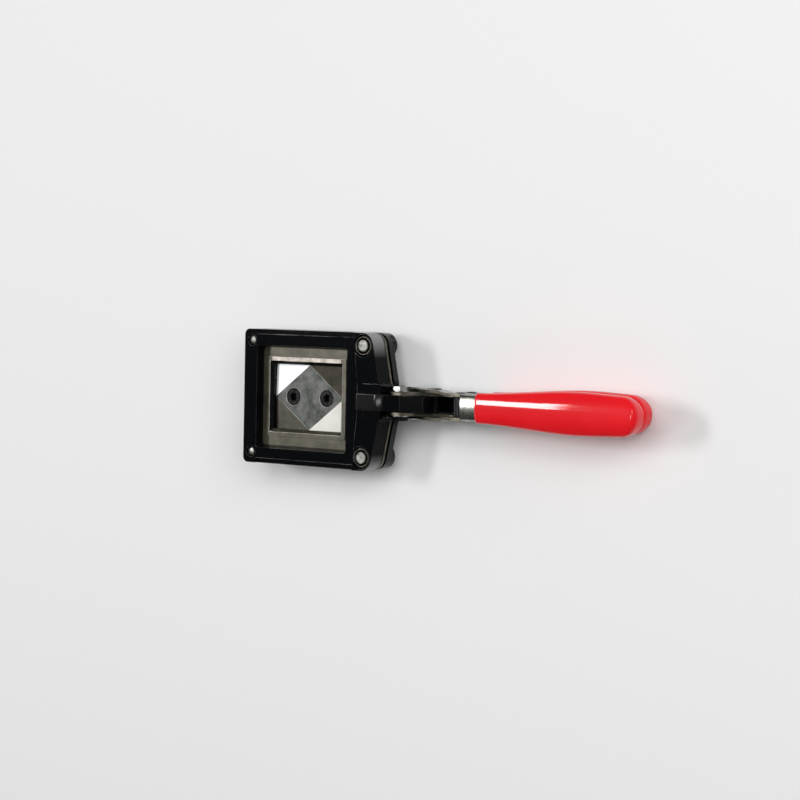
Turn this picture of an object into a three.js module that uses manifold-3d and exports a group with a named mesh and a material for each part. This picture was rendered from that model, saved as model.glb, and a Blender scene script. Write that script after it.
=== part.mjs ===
// A hand-held photo cutter, built as a scene graph of closed solids in millimetres, +Z up.
// Two castings close on each other along a pair of guide posts. The lower one carries a punch of the
// photo's size, and the upper one carries the die plate that the punch enters. Two crossing handles
// squeeze the castings together, and two coil springs part them again.
// X runs from the head to the handles and Y across the tool, both from the centre of the punch.
// Z is the height above the table until the whole group is moved to its own origin at the end.

import * as THREE from "three";
import { mergeVertices } from "three/addons/utils/BufferGeometryUtils.js";
import Module from "manifold-3d";

const wasm = await Module();
wasm.setup();

// The photo that is cut out
const PHOTO_LENGTH = 45;
const PHOTO_WIDTH = 35;

// Fits
const SLIDE_GAP = 0.3;
const DIE_CLEARANCE = 0.05;
const PLATE_SEAT_GAP = 0.3;
const WASHER_GAP = 0.15;

// The levels of the head, from the table up
const PIVOT_HEIGHT = 15.2;
const OPEN_GAP = 2;
const STRIPPER_THICKNESS = 1.5;
const SLOT_HEIGHT = 0.7;
const BASE_PLATE_THICKNESS = 4.2;
const STROKE = 1.3;
const JAW_SPREAD = OPEN_GAP + STRIPPER_THICKNESS + SLOT_HEIGHT;
const BASE_TOP = PIVOT_HEIGHT - JAW_SPREAD / 2;
const BASE_BOTTOM = BASE_TOP - BASE_PLATE_THICKNESS;
const STRIPPER_BOTTOM = BASE_TOP + OPEN_GAP;
const STRIPPER_TOP = STRIPPER_BOTTOM + STRIPPER_THICKNESS;
const DIE_BOTTOM = STRIPPER_TOP + SLOT_HEIGHT;

// The head's outline
const HEAD_LEFT = PHOTO_LENGTH / 2 + 14.8;
const HEAD_HALF_WIDTH = PHOTO_WIDTH / 2 + 18.5;
const HEAD_RIGHT = PHOTO_LENGTH / 2 + 24.9;
const LEFT_CORNER_RADIUS = 3;
const RIGHT_CORNER_RADIUS = 6.8;
const NECK_HALF_WIDTH = 9.6;
const NECK_SHOULDER = HEAD_RIGHT + 5.4;
const NECK_END = NECK_SHOULDER + 1.7;
const BASE_NECK_HALF_WIDTH = 11.3;
const BASE_NECK_END = NECK_SHOULDER - 0.2;

// The guide posts
const POST_X = HEAD_RIGHT - 5.4;
const POST_Y = HEAD_HALF_WIDTH - RIGHT_CORNER_RADIUS;
const POST_RADIUS = 3.1;
const POST_FLANGE_RADIUS = 4.6;
const POST_FLANGE_HEIGHT = 1.6;
const POST_HEAD_DROP = 0.3;
const COLLAR_RADIUS = 5;
const COLLAR_HEIGHT = 3.4;
const COLLAR_MOUTH = 1.1;
const COLLAR_SEAT_RADIUS = 5.9;
const COLLAR_SEAT_DEPTH = 4;
const BOSS_RADIUS = 6.6;
const BOSS_DROP = 3.6;
const BUSH_RADIUS = 4.6;
const BUSH_FLOOR = 4;

// The upper casting
const RAIL_HEIGHT = 8.6;
const BLOCK_RISE = 1.6;
const RAIL_LEDGE_WIDTH = 2.7;
const RAIL_LEDGE_DEPTH = 1.8;
const RAIL_LEDGE_START = HEAD_LEFT - 7.8;
const WINDOW_HALF_LENGTH = HEAD_LEFT - 8.5;
const WINDOW_HALF_WIDTH = HEAD_HALF_WIDTH - 9.7;
const WINDOW_FLARE_RIGHT = 3;
const WINDOW_FLARE_SIDE = 1.8;
const WINDOW_CORNER_RADIUS = 1.5;
const NECK_PAD_START = NECK_END - 11;
const NECK_PAD_RISE = 1.2;
const BLOCK_EDGE_AT_POSTS = POST_X - 5.8;
const BLOCK_EDGE_AT_NECK = BLOCK_EDGE_AT_POSTS + 3.1;

// The die plate and its raised rim
const DIE_THICKNESS = 2.4;
const DIE_LIP = 2.5;
const DIE_EAR = 5.2;
const DIE_EAR_HALF_LENGTH = WINDOW_HALF_LENGTH - 3.8;
const RIM_HEIGHT = 0.6;
const RIM_INNER_MARGIN = 1.6;
const RIM_WIDTH = 2.2;
const RIM_CORNER_RADIUS = 1.5;
const DIE_SCREW_X = DIE_EAR_HALF_LENGTH - 4;

// The countersunk screws that hold the die plate and the stripper plate from below
const PLATE_SCREW_RADIUS = 1.2;
const PLATE_SCREW_HEAD_RADIUS = 2.2;
const PLATE_SCREW_HEAD_HEIGHT = 1.2;
const PLATE_SCREW_LENGTH = 6.5;
const STRIPPER_SCREW_X = POST_X - 3.2;
const STRIPPER_SCREW_Y = POST_Y - 13.2;

// The arm and the tails that the handles are pinned to
const TAIL_HALF_WIDTH = 4.2;
const ARM_START = BLOCK_EDGE_AT_NECK;
const ARM_RISE = 1.9;
const ARM_BEND = NECK_END - 0.5;
const TAIL_TOP_ABOVE_PIVOT = 10.1;
const LOWER_TAIL_DEPTH = 9.4;

// The pivots
const FRONT_PIN_X = NECK_END + 8;
const FRONT_PIN_OFFSET = 6.3;
const RIVET_X = FRONT_PIN_X + 17;
const UPPER_TAIL_END = RIVET_X + 2;
const LOWER_TAIL_END = RIVET_X + 11.5;
const PIN_RADIUS = 2.5;
const RIVET_RADIUS = 2.5;
const TAIL_CLEAR_OF_RIVET = RIVET_RADIUS + STROKE / 2 + 1.5 * SLIDE_GAP;
const BOLT_ACROSS_FLATS = 7;
const BOLT_HEAD_HEIGHT = 2.3;
const BOLT_END = 0.3;
const RIVET_HEAD_RADIUS = 3.8;
const RIVET_HEAD_HEIGHT = 0.8;
const WASHER_RADIUS = 4.4;
const WASHER_THICKNESS = 0.5;

// The handles' sheet steel
const SHEET = 1.5;
const INNER_CHEEK = TAIL_HALF_WIDTH + SLIDE_GAP;
const OUTER_CHEEK = INNER_CHEEK + SHEET + SLIDE_GAP;
const CHANNEL_CHEEK = (INNER_CHEEK + OUTER_CHEEK) / 2;
const JOGGLE_START = RIVET_X + 7.5;
const JOGGLE_END = JOGGLE_START + 5;
const EYE_RADIUS = 5.5;
const WEB_START = RIVET_X + 22.5;
const CHANNEL_RISE = 3.9;
const CHANNEL_DROP = 3.2;
const CHANNEL_BEND_RADIUS = 1.8;
const STOP_X = WEB_START - 3;
const STOP_OFFSET = 4.8;
const STOP_RADIUS = 4;
const STOP_RIVET_RADIUS = 1.5;
const STOP_HEAD_RADIUS = 2.4;
const STOP_HEAD_HEIGHT = 0.4;

// The dipped grips
const GRIP_START = WEB_START + 9.5;
const GRIP_LENGTH = 94.5;
const UPPER_GRIP_TIP = GRIP_START + GRIP_LENGTH;
const LOWER_GRIP_TIP = UPPER_GRIP_TIP - 6.5;
const GRIP_START_OFFSET = 7;
const GRIP_TIP_OFFSET = 10.2;
const GRIP_OUTER_THICKNESS = 5.3;
const GRIP_INNER_THICKNESS = 4.7;
const GRIP_ROOT_HALF_WIDTH = 7.8;
const GRIP_ROOT_SQUARENESS = 0.4;
const GRIP_SQUARENESS = 0.55;
const GRIP_SQUARE_RUN = 0.45;
const GRIP_CAMBER_RADIUS = 31;
const GRIP_WIDEST_HALF_WIDTH = 10.8;
const GRIP_END_HALF_WIDTH = 9.8;
const GRIP_END_ROUNDING = 10;
const GRIP_END_EDGE = 3;
const GRIP_TIP_COVER = 20;
const GRIP_INNER_COAT = 1.1;
const GRIP_RINGS = 18;
const GRIP_RING_POINTS = 24;

// The punch
const PUNCH_SEAT_DEPTH = 4;
const PUNCH_CORNER_DROP = 0.4;
const PUNCH_SCREW_SPACING = PHOTO_LENGTH - 22.8;
const PUNCH_SCREW_HEAD_RADIUS = 4.25;
const PUNCH_SCREW_HEAD_DEPTH = 5;
const PUNCH_SCREW_RADIUS = 2.5;
const PUNCH_SCREW_LENGTH = 13;
const SOCKET_RADIUS = 2.3;
const SOCKET_DEPTH = 2.6;
const DOWEL_X = PHOTO_LENGTH / 2 - 5.5;
const DOWEL_Y = PHOTO_WIDTH / 2 - 8.5;
const DOWEL_RADIUS = 1.5;
const DOWEL_HALF_LENGTH = 2.5;

// The pedestal under the lower casting
const PEDESTAL_LEFT = HEAD_LEFT - 10.3;
const PEDESTAL_RIGHT = POST_X - 2;
const PEDESTAL_HALF_WIDTH = HEAD_HALF_WIDTH - 13;
const PEDESTAL_WALL = 4;
const PEDESTAL_POCKET_DEPTH = 5;

// The return springs
const SPRING_RADIUS = 4.4;
const SPRING_WIRE = 0.9;
const SPRING_TURNS = 4;
const SPRING_POCKET_RADIUS = 5.6;
const SPRING_STEPS = 8;
const SPRING_SIDES = 5;

// The screws at the left corners
const CORNER_SCREW_X = HEAD_LEFT - 5.1;
const CORNER_SCREW_Y = HEAD_HALF_WIDTH - 6;
const CORNER_SCREW_RADIUS = 1.5;
const CORNER_SCREW_HEAD_RADIUS = 2.5;
const CORNER_SCREW_HEAD_HEIGHT = 2.2;
const CORNER_SEAT_RADIUS = 3;
const CORNER_SEAT_DEPTH = 2.6;
const SPACER_RADIUS = 3.2;
const STOP_STRIP_WIDTH = 9;
const STOP_STRIP_INSET = 5;

// How finely round shapes are cut
const ROUND = 24;
const SMALL_ROUND = 12;
const ARC_STEPS = 3;

const material = (color, roughness, metalness) =>
  new THREE.MeshStandardMaterial({ color, roughness, metalness });

const blackEnamel = material(0x07080b, 0.22, 0.1);
const groundSteel = material(0x8c8a7e, 0.38, 0.9);
const brightSteel = material(0xc9c9c6, 0.25, 1);
const nickelPlate = material(0xdad6cf, 0.22, 1);
const blackSteel = material(0x17171a, 0.42, 0.8);
const redVinyl = material(0xe3232b, 0.22, 0);
const bronze = material(0xa9793f, 0.4, 0.9);
const springSteel = material(0x8f9296, 0.35, 1);

// A closed geometry as a solid that can be joined and cut.
function solidOf(geometry) {
  const bare = geometry.index ? geometry.toNonIndexed() : geometry.clone();
  bare.deleteAttribute("normal");
  bare.deleteAttribute("uv");
  const merged = mergeVertices(bare, 1e-4);
  const numbers = new wasm.Mesh({
    numProp: 3,
    vertProperties: merged.attributes.position.array,
    triVerts: new Uint32Array(merged.index.array),
  });
  return new wasm.Manifold(numbers);
}

function geometryOf(solid) {
  const raw = solid.getMesh();
  const geometry = new THREE.BufferGeometry();
  geometry.setAttribute("position", new THREE.BufferAttribute(raw.vertProperties, 3));
  geometry.setIndex(new THREE.BufferAttribute(raw.triVerts, 1));
  geometry.computeVertexNormals();
  return geometry;
}

const joined = (...solids) => solids.reduce((whole, next) => whole.add(next));
const cutBy = (solid, ...cutters) => cutters.reduce((whole, next) => whole.subtract(next), solid);

// A closed outline through corners [x, y, radius], each rounded by its own radius.
function outline(corners) {
  const shape = new THREE.Shape();
  corners.forEach(([x, y, radius = 0], index) => {
    const here = new THREE.Vector2(x, y);
    const [beforeX, beforeY] = corners.at(index - 1);
    const [afterX, afterY] = corners[(index + 1) % corners.length];
    const back = new THREE.Vector2(beforeX, beforeY).sub(here).normalize();
    const onward = new THREE.Vector2(afterX, afterY).sub(here).normalize();
    const halfAngle = Math.acos(THREE.MathUtils.clamp(back.dot(onward), -1, 1)) / 2;
    const start = here.clone().addScaledVector(back, radius / Math.tan(halfAngle));
    if (index === 0) shape.moveTo(start.x, start.y);
    else shape.lineTo(start.x, start.y);
    if (radius === 0) return;
    const end = here.clone().addScaledVector(onward, radius / Math.tan(halfAngle));
    const inward = back.clone().add(onward).normalize();
    const centre = here.clone().addScaledVector(inward, radius / Math.sin(halfAngle));
    const from = start.clone().sub(centre).angle();
    const to = end.clone().sub(centre).angle();
    shape.absarc(centre.x, centre.y, radius, from, to, back.cross(onward) > 0);
  });
  shape.closePath();
  return shape;
}

const rectangle = (x0, x1, y0, y1, radius = 0) =>
  outline([
    [x0, y0, radius],
    [x1, y0, radius],
    [x1, y1, radius],
    [x0, y1, radius],
  ]);

function extruded(shape, depth) {
  return new THREE.ExtrudeGeometry(shape, { depth, bevelEnabled: false, curveSegments: ARC_STEPS });
}

// A plan outline raised from z0 to z1.
function upright(shape, z0, z1) {
  return solidOf(extruded(shape, z1 - z0).translate(0, 0, z0));
}

// A side outline in X and Z, stretched across the tool from y0 to y1.
function across(shape, y0, y1) {
  const geometry = extruded(shape, y1 - y0).rotateX(Math.PI / 2);
  return solidOf(geometry.translate(0, y1, 0));
}

const block = (x0, x1, y0, y1, z0, z1) => upright(rectangle(x0, x1, y0, y1), z0, z1);

// A standing cylinder or cone.
function post(x, y, z0, z1, radius, sides = ROUND, topRadius = radius) {
  const geometry = new THREE.CylinderGeometry(topRadius, radius, z1 - z0, sides);
  return solidOf(geometry.rotateX(Math.PI / 2).translate(x, y, (z0 + z1) / 2));
}

// A cylinder lying across the tool.
function crossRod(x, z, y0, y1, radius, sides = ROUND) {
  const geometry = new THREE.CylinderGeometry(radius, radius, y1 - y0, sides);
  return solidOf(geometry.translate(x, (y0 + y1) / 2, z));
}

// A hexagonal prism lying across the tool.
function crossHex(x, z, y0, y1, acrossFlats) {
  return crossRod(x, z, y0, y1, acrossFlats / Math.sqrt(3), 6);
}

// Rings of points joined into one closed skin with flat ends.
function lofted(rings) {
  const positions = rings.flat().flatMap((point) => [point.x, point.y, point.z]);
  const count = rings[0].length;
  const faces = [];
  for (let ring = 0; ring < rings.length - 1; ring += 1) {
    for (let at = 0; at < count; at += 1) {
      const a = ring * count + at;
      const b = ring * count + ((at + 1) % count);
      faces.push(a, b, b + count, a, b + count, a + count);
    }
  }
  const last = (rings.length - 1) * count;
  for (let at = 1; at < count - 1; at += 1) {
    faces.push(0, at + 1, at);
    faces.push(last, last + at, last + at + 1);
  }
  const geometry = new THREE.BufferGeometry();
  geometry.setAttribute("position", new THREE.Float32BufferAttribute(positions, 3));
  geometry.setIndex(faces);
  return geometry;
}

const cutter = new THREE.Group();

function place(name, solid, finish) {
  const mesh = new THREE.Mesh(geometryOf(solid), finish);
  mesh.name = name;
  cutter.add(mesh);
  return mesh;
}

const sides = [
  ["left", 1],
  ["right", -1],
];

const punchHalfLength = PHOTO_LENGTH / 2 - DIE_CLEARANCE;
const punchHalfWidth = PHOTO_WIDTH / 2 - DIE_CLEARANCE;
const railTop = DIE_BOTTOM + RAIL_HEIGHT;
const blockTop = railTop + BLOCK_RISE;
const armTop = blockTop + ARM_RISE;
const upperPinZ = PIVOT_HEIGHT + FRONT_PIN_OFFSET;
const lowerPinZ = PIVOT_HEIGHT - FRONT_PIN_OFFSET;
const bossBottom = BASE_BOTTOM - BOSS_DROP;

// The head's plan outline, with its slanted right side and a neck of the given width and end.
function headOutline(neckHalfWidth, shoulder, neckEnd) {
  return outline([
    [-HEAD_LEFT, -HEAD_HALF_WIDTH, LEFT_CORNER_RADIUS],
    [HEAD_RIGHT, -HEAD_HALF_WIDTH, RIGHT_CORNER_RADIUS],
    [shoulder, -neckHalfWidth],
    [neckEnd, -neckHalfWidth],
    [neckEnd, neckHalfWidth],
    [shoulder, neckHalfWidth],
    [HEAD_RIGHT, HEAD_HALF_WIDTH, RIGHT_CORNER_RADIUS],
    [-HEAD_LEFT, HEAD_HALF_WIDTH, LEFT_CORNER_RADIUS],
  ]);
}

// The window in the upper casting. Its left wall is upright, and the others lean outwards.
function flaredWindow() {
  const ringAt = (z, share) => {
    const corners = rectangle(
      -WINDOW_HALF_LENGTH,
      WINDOW_HALF_LENGTH + share * WINDOW_FLARE_RIGHT,
      -WINDOW_HALF_WIDTH - share * WINDOW_FLARE_SIDE,
      WINDOW_HALF_WIDTH + share * WINDOW_FLARE_SIDE,
      WINDOW_CORNER_RADIUS,
    );
    return corners.getPoints(ARC_STEPS).slice(0, -1).map((p) => new THREE.Vector3(p.x, p.y, z));
  };
  const floor = DIE_BOTTOM + DIE_THICKNESS;
  const overshoot = (blockTop + 1 - floor) / RAIL_HEIGHT;
  return solidOf(lofted([ringAt(floor - 1, 0), ringAt(floor, 0), ringAt(blockTop + 1, overshoot)]));
}

// The raised block round the posts and the neck, bounded on the left by a shallow V.
function raisedBlock() {
  const shape = outline([
    [BLOCK_EDGE_AT_POSTS, -HEAD_HALF_WIDTH],
    [NECK_END + 1, -HEAD_HALF_WIDTH],
    [NECK_END + 1, HEAD_HALF_WIDTH],
    [BLOCK_EDGE_AT_POSTS, HEAD_HALF_WIDTH],
    [BLOCK_EDGE_AT_NECK, TAIL_HALF_WIDTH],
    [BLOCK_EDGE_AT_NECK, -TAIL_HALF_WIDTH],
  ]);
  return upright(shape, railTop - 1, blockTop);
}

// The arm rises from the raised block, bends down at the neck and ends over the centre rivet.
function upperTail() {
  const flatTop = PIVOT_HEIGHT + TAIL_TOP_ABOVE_PIVOT;
  const underside = PIVOT_HEIGHT + TAIL_CLEAR_OF_RIVET;
  const shape = outline([
    [ARM_START, blockTop - 1],
    [ARM_BEND - 6, DIE_BOTTOM],
    [FRONT_PIN_X - 4, DIE_BOTTOM],
    [FRONT_PIN_X + 2, upperPinZ - EYE_RADIUS + 0.6, 2],
    [FRONT_PIN_X + 6, underside, 2],
    [UPPER_TAIL_END, underside, 1],
    [UPPER_TAIL_END, flatTop, 3],
    [FRONT_PIN_X + 2, flatTop, 3],
    [ARM_BEND, armTop, 4],
    [ARM_START, armTop, 1],
  ]);
  return across(shape, -TAIL_HALF_WIDTH, TAIL_HALF_WIDTH);
}

// The lower casting's tail runs under the centre rivet.
function lowerTail() {
  const flatTop = PIVOT_HEIGHT - TAIL_CLEAR_OF_RIVET;
  const underside = PIVOT_HEIGHT - LOWER_TAIL_DEPTH;
  const shape = outline([
    [BASE_NECK_END - 8, BASE_TOP],
    [BASE_NECK_END - 8, BASE_BOTTOM],
    [BASE_NECK_END, BASE_BOTTOM],
    [FRONT_PIN_X - 3, lowerPinZ - EYE_RADIUS + 0.6, 3],
    [FRONT_PIN_X + 4, lowerPinZ - EYE_RADIUS + 0.6, 3],
    [FRONT_PIN_X + 8, underside],
    [LOWER_TAIL_END, underside, 1.5],
    [LOWER_TAIL_END, flatTop, 1.5],
    [FRONT_PIN_X + 6, flatTop, 2],
    [FRONT_PIN_X + 3, BASE_TOP, 2],
  ]);
  return across(shape, -TAIL_HALF_WIDTH, TAIL_HALF_WIDTH);
}

const dieScrewY = WINDOW_HALF_WIDTH + DIE_EAR / 2;
const plateScrews = [
  { name: "die_screw_front_left", x: -DIE_SCREW_X, y: dieScrewY, z: DIE_BOTTOM },
  { name: "die_screw_front_right", x: -DIE_SCREW_X, y: -dieScrewY, z: DIE_BOTTOM },
  { name: "die_screw_rear_left", x: DIE_SCREW_X, y: dieScrewY, z: DIE_BOTTOM },
  { name: "die_screw_rear_right", x: DIE_SCREW_X, y: -dieScrewY, z: DIE_BOTTOM },
  { name: "stripper_screw_left", x: STRIPPER_SCREW_X, y: STRIPPER_SCREW_Y, z: STRIPPER_BOTTOM },
  { name: "stripper_screw_right", x: STRIPPER_SCREW_X, y: -STRIPPER_SCREW_Y, z: STRIPPER_BOTTOM },
];

// A countersunk screw, driven up through a plate into the casting above it.
function plateScrew(x, y, z, gap) {
  const shoulder = z + PLATE_SCREW_HEAD_HEIGHT;
  const shankRadius = PLATE_SCREW_RADIUS + gap;
  const headRadius = PLATE_SCREW_HEAD_RADIUS + gap;
  const head = post(x, y, z - gap, shoulder, headRadius, SMALL_ROUND, shankRadius);
  const end = z + PLATE_SCREW_LENGTH + gap;
  return head.add(post(x, y, shoulder - 0.5, end, shankRadius, SMALL_ROUND));
}

// The die plate's flat part: a lip all round the window, with wider ears for its screws.
function dieSlab(gap, z0, z1) {
  const lipX = WINDOW_HALF_LENGTH + DIE_LIP - gap;
  const lipY = WINDOW_HALF_WIDTH + DIE_LIP - gap;
  const earX = DIE_EAR_HALF_LENGTH - gap;
  const earY = WINDOW_HALF_WIDTH + DIE_EAR - gap;
  return block(-lipX, lipX, -lipY, lipY, z0, z1).add(block(-earX, earX, -earY, earY, z0, z1));
}

function upperCasting() {
  const whole = upright(headOutline(NECK_HALF_WIDTH, NECK_SHOULDER, NECK_END), DIE_BOTTOM, railTop);
  const plan = upright(headOutline(NECK_HALF_WIDTH, NECK_SHOULDER, NECK_END), DIE_BOTTOM, armTop);
  const raised = raisedBlock().intersect(plan);
  const pad = block(
    NECK_PAD_START,
    NECK_END,
    -NECK_HALF_WIDTH,
    NECK_HALF_WIDTH,
    blockTop - 1,
    blockTop + NECK_PAD_RISE,
  ).intersect(plan);
  const body = joined(whole, raised, pad, upperTail());
  const seat = dieSlab(0, DIE_BOTTOM - 1, DIE_BOTTOM + DIE_THICKNESS);
  const cutters = [flaredWindow(), seat];
  for (const { x, y, z } of plateScrews) cutters.push(plateScrew(x, y, z, SLIDE_GAP));
  cutters.push(crossRod(FRONT_PIN_X, upperPinZ, -9, 9, PIN_RADIUS + SLIDE_GAP));
  for (const [, side] of sides) {
    const inner = side * (HEAD_HALF_WIDTH - RAIL_LEDGE_WIDTH);
    const outer = side * (HEAD_HALF_WIDTH + 1);
    const ledgeOutline = outline(
      side > 0
        ? [
            [-RAIL_LEDGE_START, inner, 1.5],
            [BLOCK_EDGE_AT_POSTS, inner],
            [BLOCK_EDGE_AT_POSTS, outer],
            [-RAIL_LEDGE_START, outer],
          ]
        : [
            [-RAIL_LEDGE_START, outer],
            [BLOCK_EDGE_AT_POSTS, outer],
            [BLOCK_EDGE_AT_POSTS, inner],
            [-RAIL_LEDGE_START, inner, 1.5],
          ],
    );
    cutters.push(upright(ledgeOutline, railTop - RAIL_LEDGE_DEPTH, blockTop + 1));
    const postY = side * POST_Y;
    cutters.push(post(POST_X, postY, DIE_BOTTOM - 1, blockTop + 1, POST_RADIUS + SLIDE_GAP));
    cutters.push(post(POST_X, postY, blockTop - COLLAR_SEAT_DEPTH, blockTop + 1, COLLAR_SEAT_RADIUS));
    const screwY = side * CORNER_SCREW_Y;
    const screwHole = CORNER_SCREW_RADIUS + SLIDE_GAP;
    cutters.push(post(-CORNER_SCREW_X, screwY, DIE_BOTTOM - 1, railTop + 1, screwHole, SMALL_ROUND));
    cutters.push(post(-CORNER_SCREW_X, screwY, railTop - CORNER_SEAT_DEPTH, railTop + 1, CORNER_SEAT_RADIUS));
  }
  return cutBy(body, ...cutters);
}

// The die plate: a lip all round under the casting, the photo opening, and a bevelled raised rim.
function diePlate() {
  const top = DIE_BOTTOM + DIE_THICKNESS;
  const rimTop = top + RIM_HEIGHT;
  const plate = dieSlab(PLATE_SEAT_GAP, DIE_BOTTOM, top);
  const innerX = PHOTO_LENGTH / 2 + RIM_INNER_MARGIN;
  const innerY = PHOTO_WIDTH / 2 + RIM_INNER_MARGIN;
  const outerX = innerX + RIM_WIDTH;
  const outerY = innerY + RIM_WIDTH;
  const rim = upright(rectangle(-outerX, outerX, -outerY, outerY, RIM_CORNER_RADIUS), top - 1, rimTop);
  const ringAt = (z, halfX, halfY) =>
    [
      [-1, -1],
      [1, -1],
      [1, 1],
      [-1, 1],
    ].map(([x, y]) => new THREE.Vector3(x * halfX, y * halfY, z));
  const halfX = PHOTO_LENGTH / 2;
  const halfY = PHOTO_WIDTH / 2;
  const slopeX = RIM_INNER_MARGIN / (RIM_HEIGHT + DIE_THICKNESS / 2);
  const opening = lofted([
    ringAt(DIE_BOTTOM - 1, halfX, halfY),
    ringAt(DIE_BOTTOM + DIE_THICKNESS / 2, halfX, halfY),
    ringAt(rimTop + 1, innerX + slopeX, innerY + slopeX),
  ]);
  const holes = plateScrews.map(({ x, y, z }) => plateScrew(x, y, z, SLIDE_GAP));
  return cutBy(plate.add(rim), solidOf(opening), ...holes);
}

// The stripper plate lies under the slot and rubs the photo off the punch.
function stripperPlate() {
  const plate = upright(
    headOutline(NECK_HALF_WIDTH, NECK_SHOULDER, NECK_SHOULDER + 0.5),
    STRIPPER_BOTTOM,
    STRIPPER_TOP,
  );
  const cutters = [
    block(
      -punchHalfLength - SLIDE_GAP,
      punchHalfLength + SLIDE_GAP,
      -punchHalfWidth - SLIDE_GAP,
      punchHalfWidth + SLIDE_GAP,
      STRIPPER_BOTTOM - 1,
      STRIPPER_TOP + 1,
    ),
  ];
  for (const { x, y, z } of plateScrews) {
    if (z < STRIPPER_TOP) cutters.push(plateScrew(x, y, z, SLIDE_GAP));
  }
  for (const [, side] of sides) {
    const hole = SPRING_POCKET_RADIUS;
    cutters.push(post(POST_X, side * POST_Y, STRIPPER_BOTTOM - 1, STRIPPER_TOP + 1, hole));
    cutters.push(
      post(
        -CORNER_SCREW_X,
        side * CORNER_SCREW_Y,
        STRIPPER_BOTTOM - 1,
        STRIPPER_TOP + 1,
        CORNER_SCREW_RADIUS + SLIDE_GAP,
        SMALL_ROUND,
      ),
    );
  }
  return cutBy(plate, ...cutters);
}

// A thin strip at the closed end of the slot: the photo is pushed in from the left against it.
function photoStop() {
  const start = BLOCK_EDGE_AT_POSTS - 2;
  const end = start + STOP_STRIP_WIDTH;
  const reach = HEAD_HALF_WIDTH - STOP_STRIP_INSET;
  const strip = block(start, end, -reach, reach, STRIPPER_TOP, DIE_BOTTOM);
  const holes = sides.map(([, side]) =>
    post(POST_X, side * POST_Y, STRIPPER_TOP - 1, DIE_BOTTOM + 1, SPRING_POCKET_RADIUS),
  );
  const screwHoles = plateScrews.map(({ x, y, z }) => plateScrew(x, y, z, SLIDE_GAP));
  return cutBy(strip, ...holes, ...screwHoles);
}

function lowerCasting() {
  const plate = upright(
    headOutline(BASE_NECK_HALF_WIDTH, BASE_NECK_END - 0.2, BASE_NECK_END),
    BASE_BOTTOM,
    BASE_TOP,
  );
  const pedestal = upright(
    rectangle(-PEDESTAL_LEFT, PEDESTAL_RIGHT, -PEDESTAL_HALF_WIDTH, PEDESTAL_HALF_WIDTH, 3),
    0,
    BASE_BOTTOM + 1,
  );
  const bosses = sides.map(([, side]) =>
    post(POST_X, side * POST_Y, bossBottom, BASE_BOTTOM + 1, BOSS_RADIUS),
  );
  const body = joined(plate, pedestal, lowerTail(), ...bosses);
  const punchSeat = block(
    -punchHalfLength - SLIDE_GAP,
    punchHalfLength + SLIDE_GAP,
    -punchHalfWidth - SLIDE_GAP,
    punchHalfWidth + SLIDE_GAP,
    BASE_TOP - PUNCH_SEAT_DEPTH,
    BASE_TOP + 1,
  );
  const cutters = [punchSeat, crossRod(FRONT_PIN_X, lowerPinZ, -9, 9, PIN_RADIUS + SLIDE_GAP)];
  for (const x of [-PUNCH_SCREW_SPACING / 2, PUNCH_SCREW_SPACING / 2]) {
    const hole = PUNCH_SCREW_RADIUS + SLIDE_GAP;
    cutters.push(post(x, 0, -1, BASE_TOP, hole, SMALL_ROUND));
  }
  for (const [, side] of sides) {
    const y = side * POST_Y;
    const pocketFloor = bossBottom + BUSH_FLOOR;
    cutters.push(post(POST_X, y, bossBottom - 1, BASE_TOP + 1, BUSH_RADIUS + SLIDE_GAP));
    cutters.push(post(POST_X, y, pocketFloor, BASE_TOP + 1, SPRING_POCKET_RADIUS));
    cutters.push(dowelPin(side, SLIDE_GAP));
    const pocketInner = side * (PUNCH_SCREW_HEAD_RADIUS + 2);
    const pocketOuter = side * (PEDESTAL_HALF_WIDTH - PEDESTAL_WALL);
    const low = Math.min(pocketInner, pocketOuter);
    const high = Math.max(pocketInner, pocketOuter);
    const middle = PEDESTAL_WALL / 2;
    const left = -PEDESTAL_LEFT + PEDESTAL_WALL;
    const right = PEDESTAL_RIGHT - PEDESTAL_WALL;
    cutters.push(block(left, -middle, low, high, -1, PEDESTAL_POCKET_DEPTH));
    cutters.push(block(middle, right, low, high, -1, PEDESTAL_POCKET_DEPTH));
  }
  return cutBy(body, ...cutters);
}

// Two dowels, corner to corner, hold the punch true in its seat.
function dowelPin(side, gap) {
  const z = BASE_TOP - PUNCH_SEAT_DEPTH;
  const reach = DOWEL_HALF_LENGTH + gap;
  return post(side * DOWEL_X, side * DOWEL_Y, z - reach, z + reach, DOWEL_RADIUS + gap, SMALL_ROUND);
}

// The punch's top is a flat diamond whose four corners fall away a little, so that it shears.
function punch() {
  const seat = BASE_TOP - PUNCH_SEAT_DEPTH;
  const top = STRIPPER_TOP;
  const body = block(
    -punchHalfLength,
    punchHalfLength,
    -punchHalfWidth,
    punchHalfWidth,
    seat,
    top,
  );
  const cutters = [];
  for (const x of [-PUNCH_SCREW_SPACING / 2, PUNCH_SCREW_SPACING / 2]) {
    const shoulder = top - PUNCH_SCREW_HEAD_DEPTH;
    cutters.push(post(x, 0, seat - 1, top, PUNCH_SCREW_RADIUS + SLIDE_GAP, SMALL_ROUND));
    cutters.push(post(x, 0, shoulder, top + 1, PUNCH_SCREW_HEAD_RADIUS + SLIDE_GAP));
  }
  for (const [, side] of sides) cutters.push(dowelPin(side, SLIDE_GAP));
  for (const signX of [-1, 1]) {
    for (const signY of [-1, 1]) cutters.push(cornerFall(signX, signY, top));
  }
  return cutBy(body, ...cutters);
}

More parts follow.
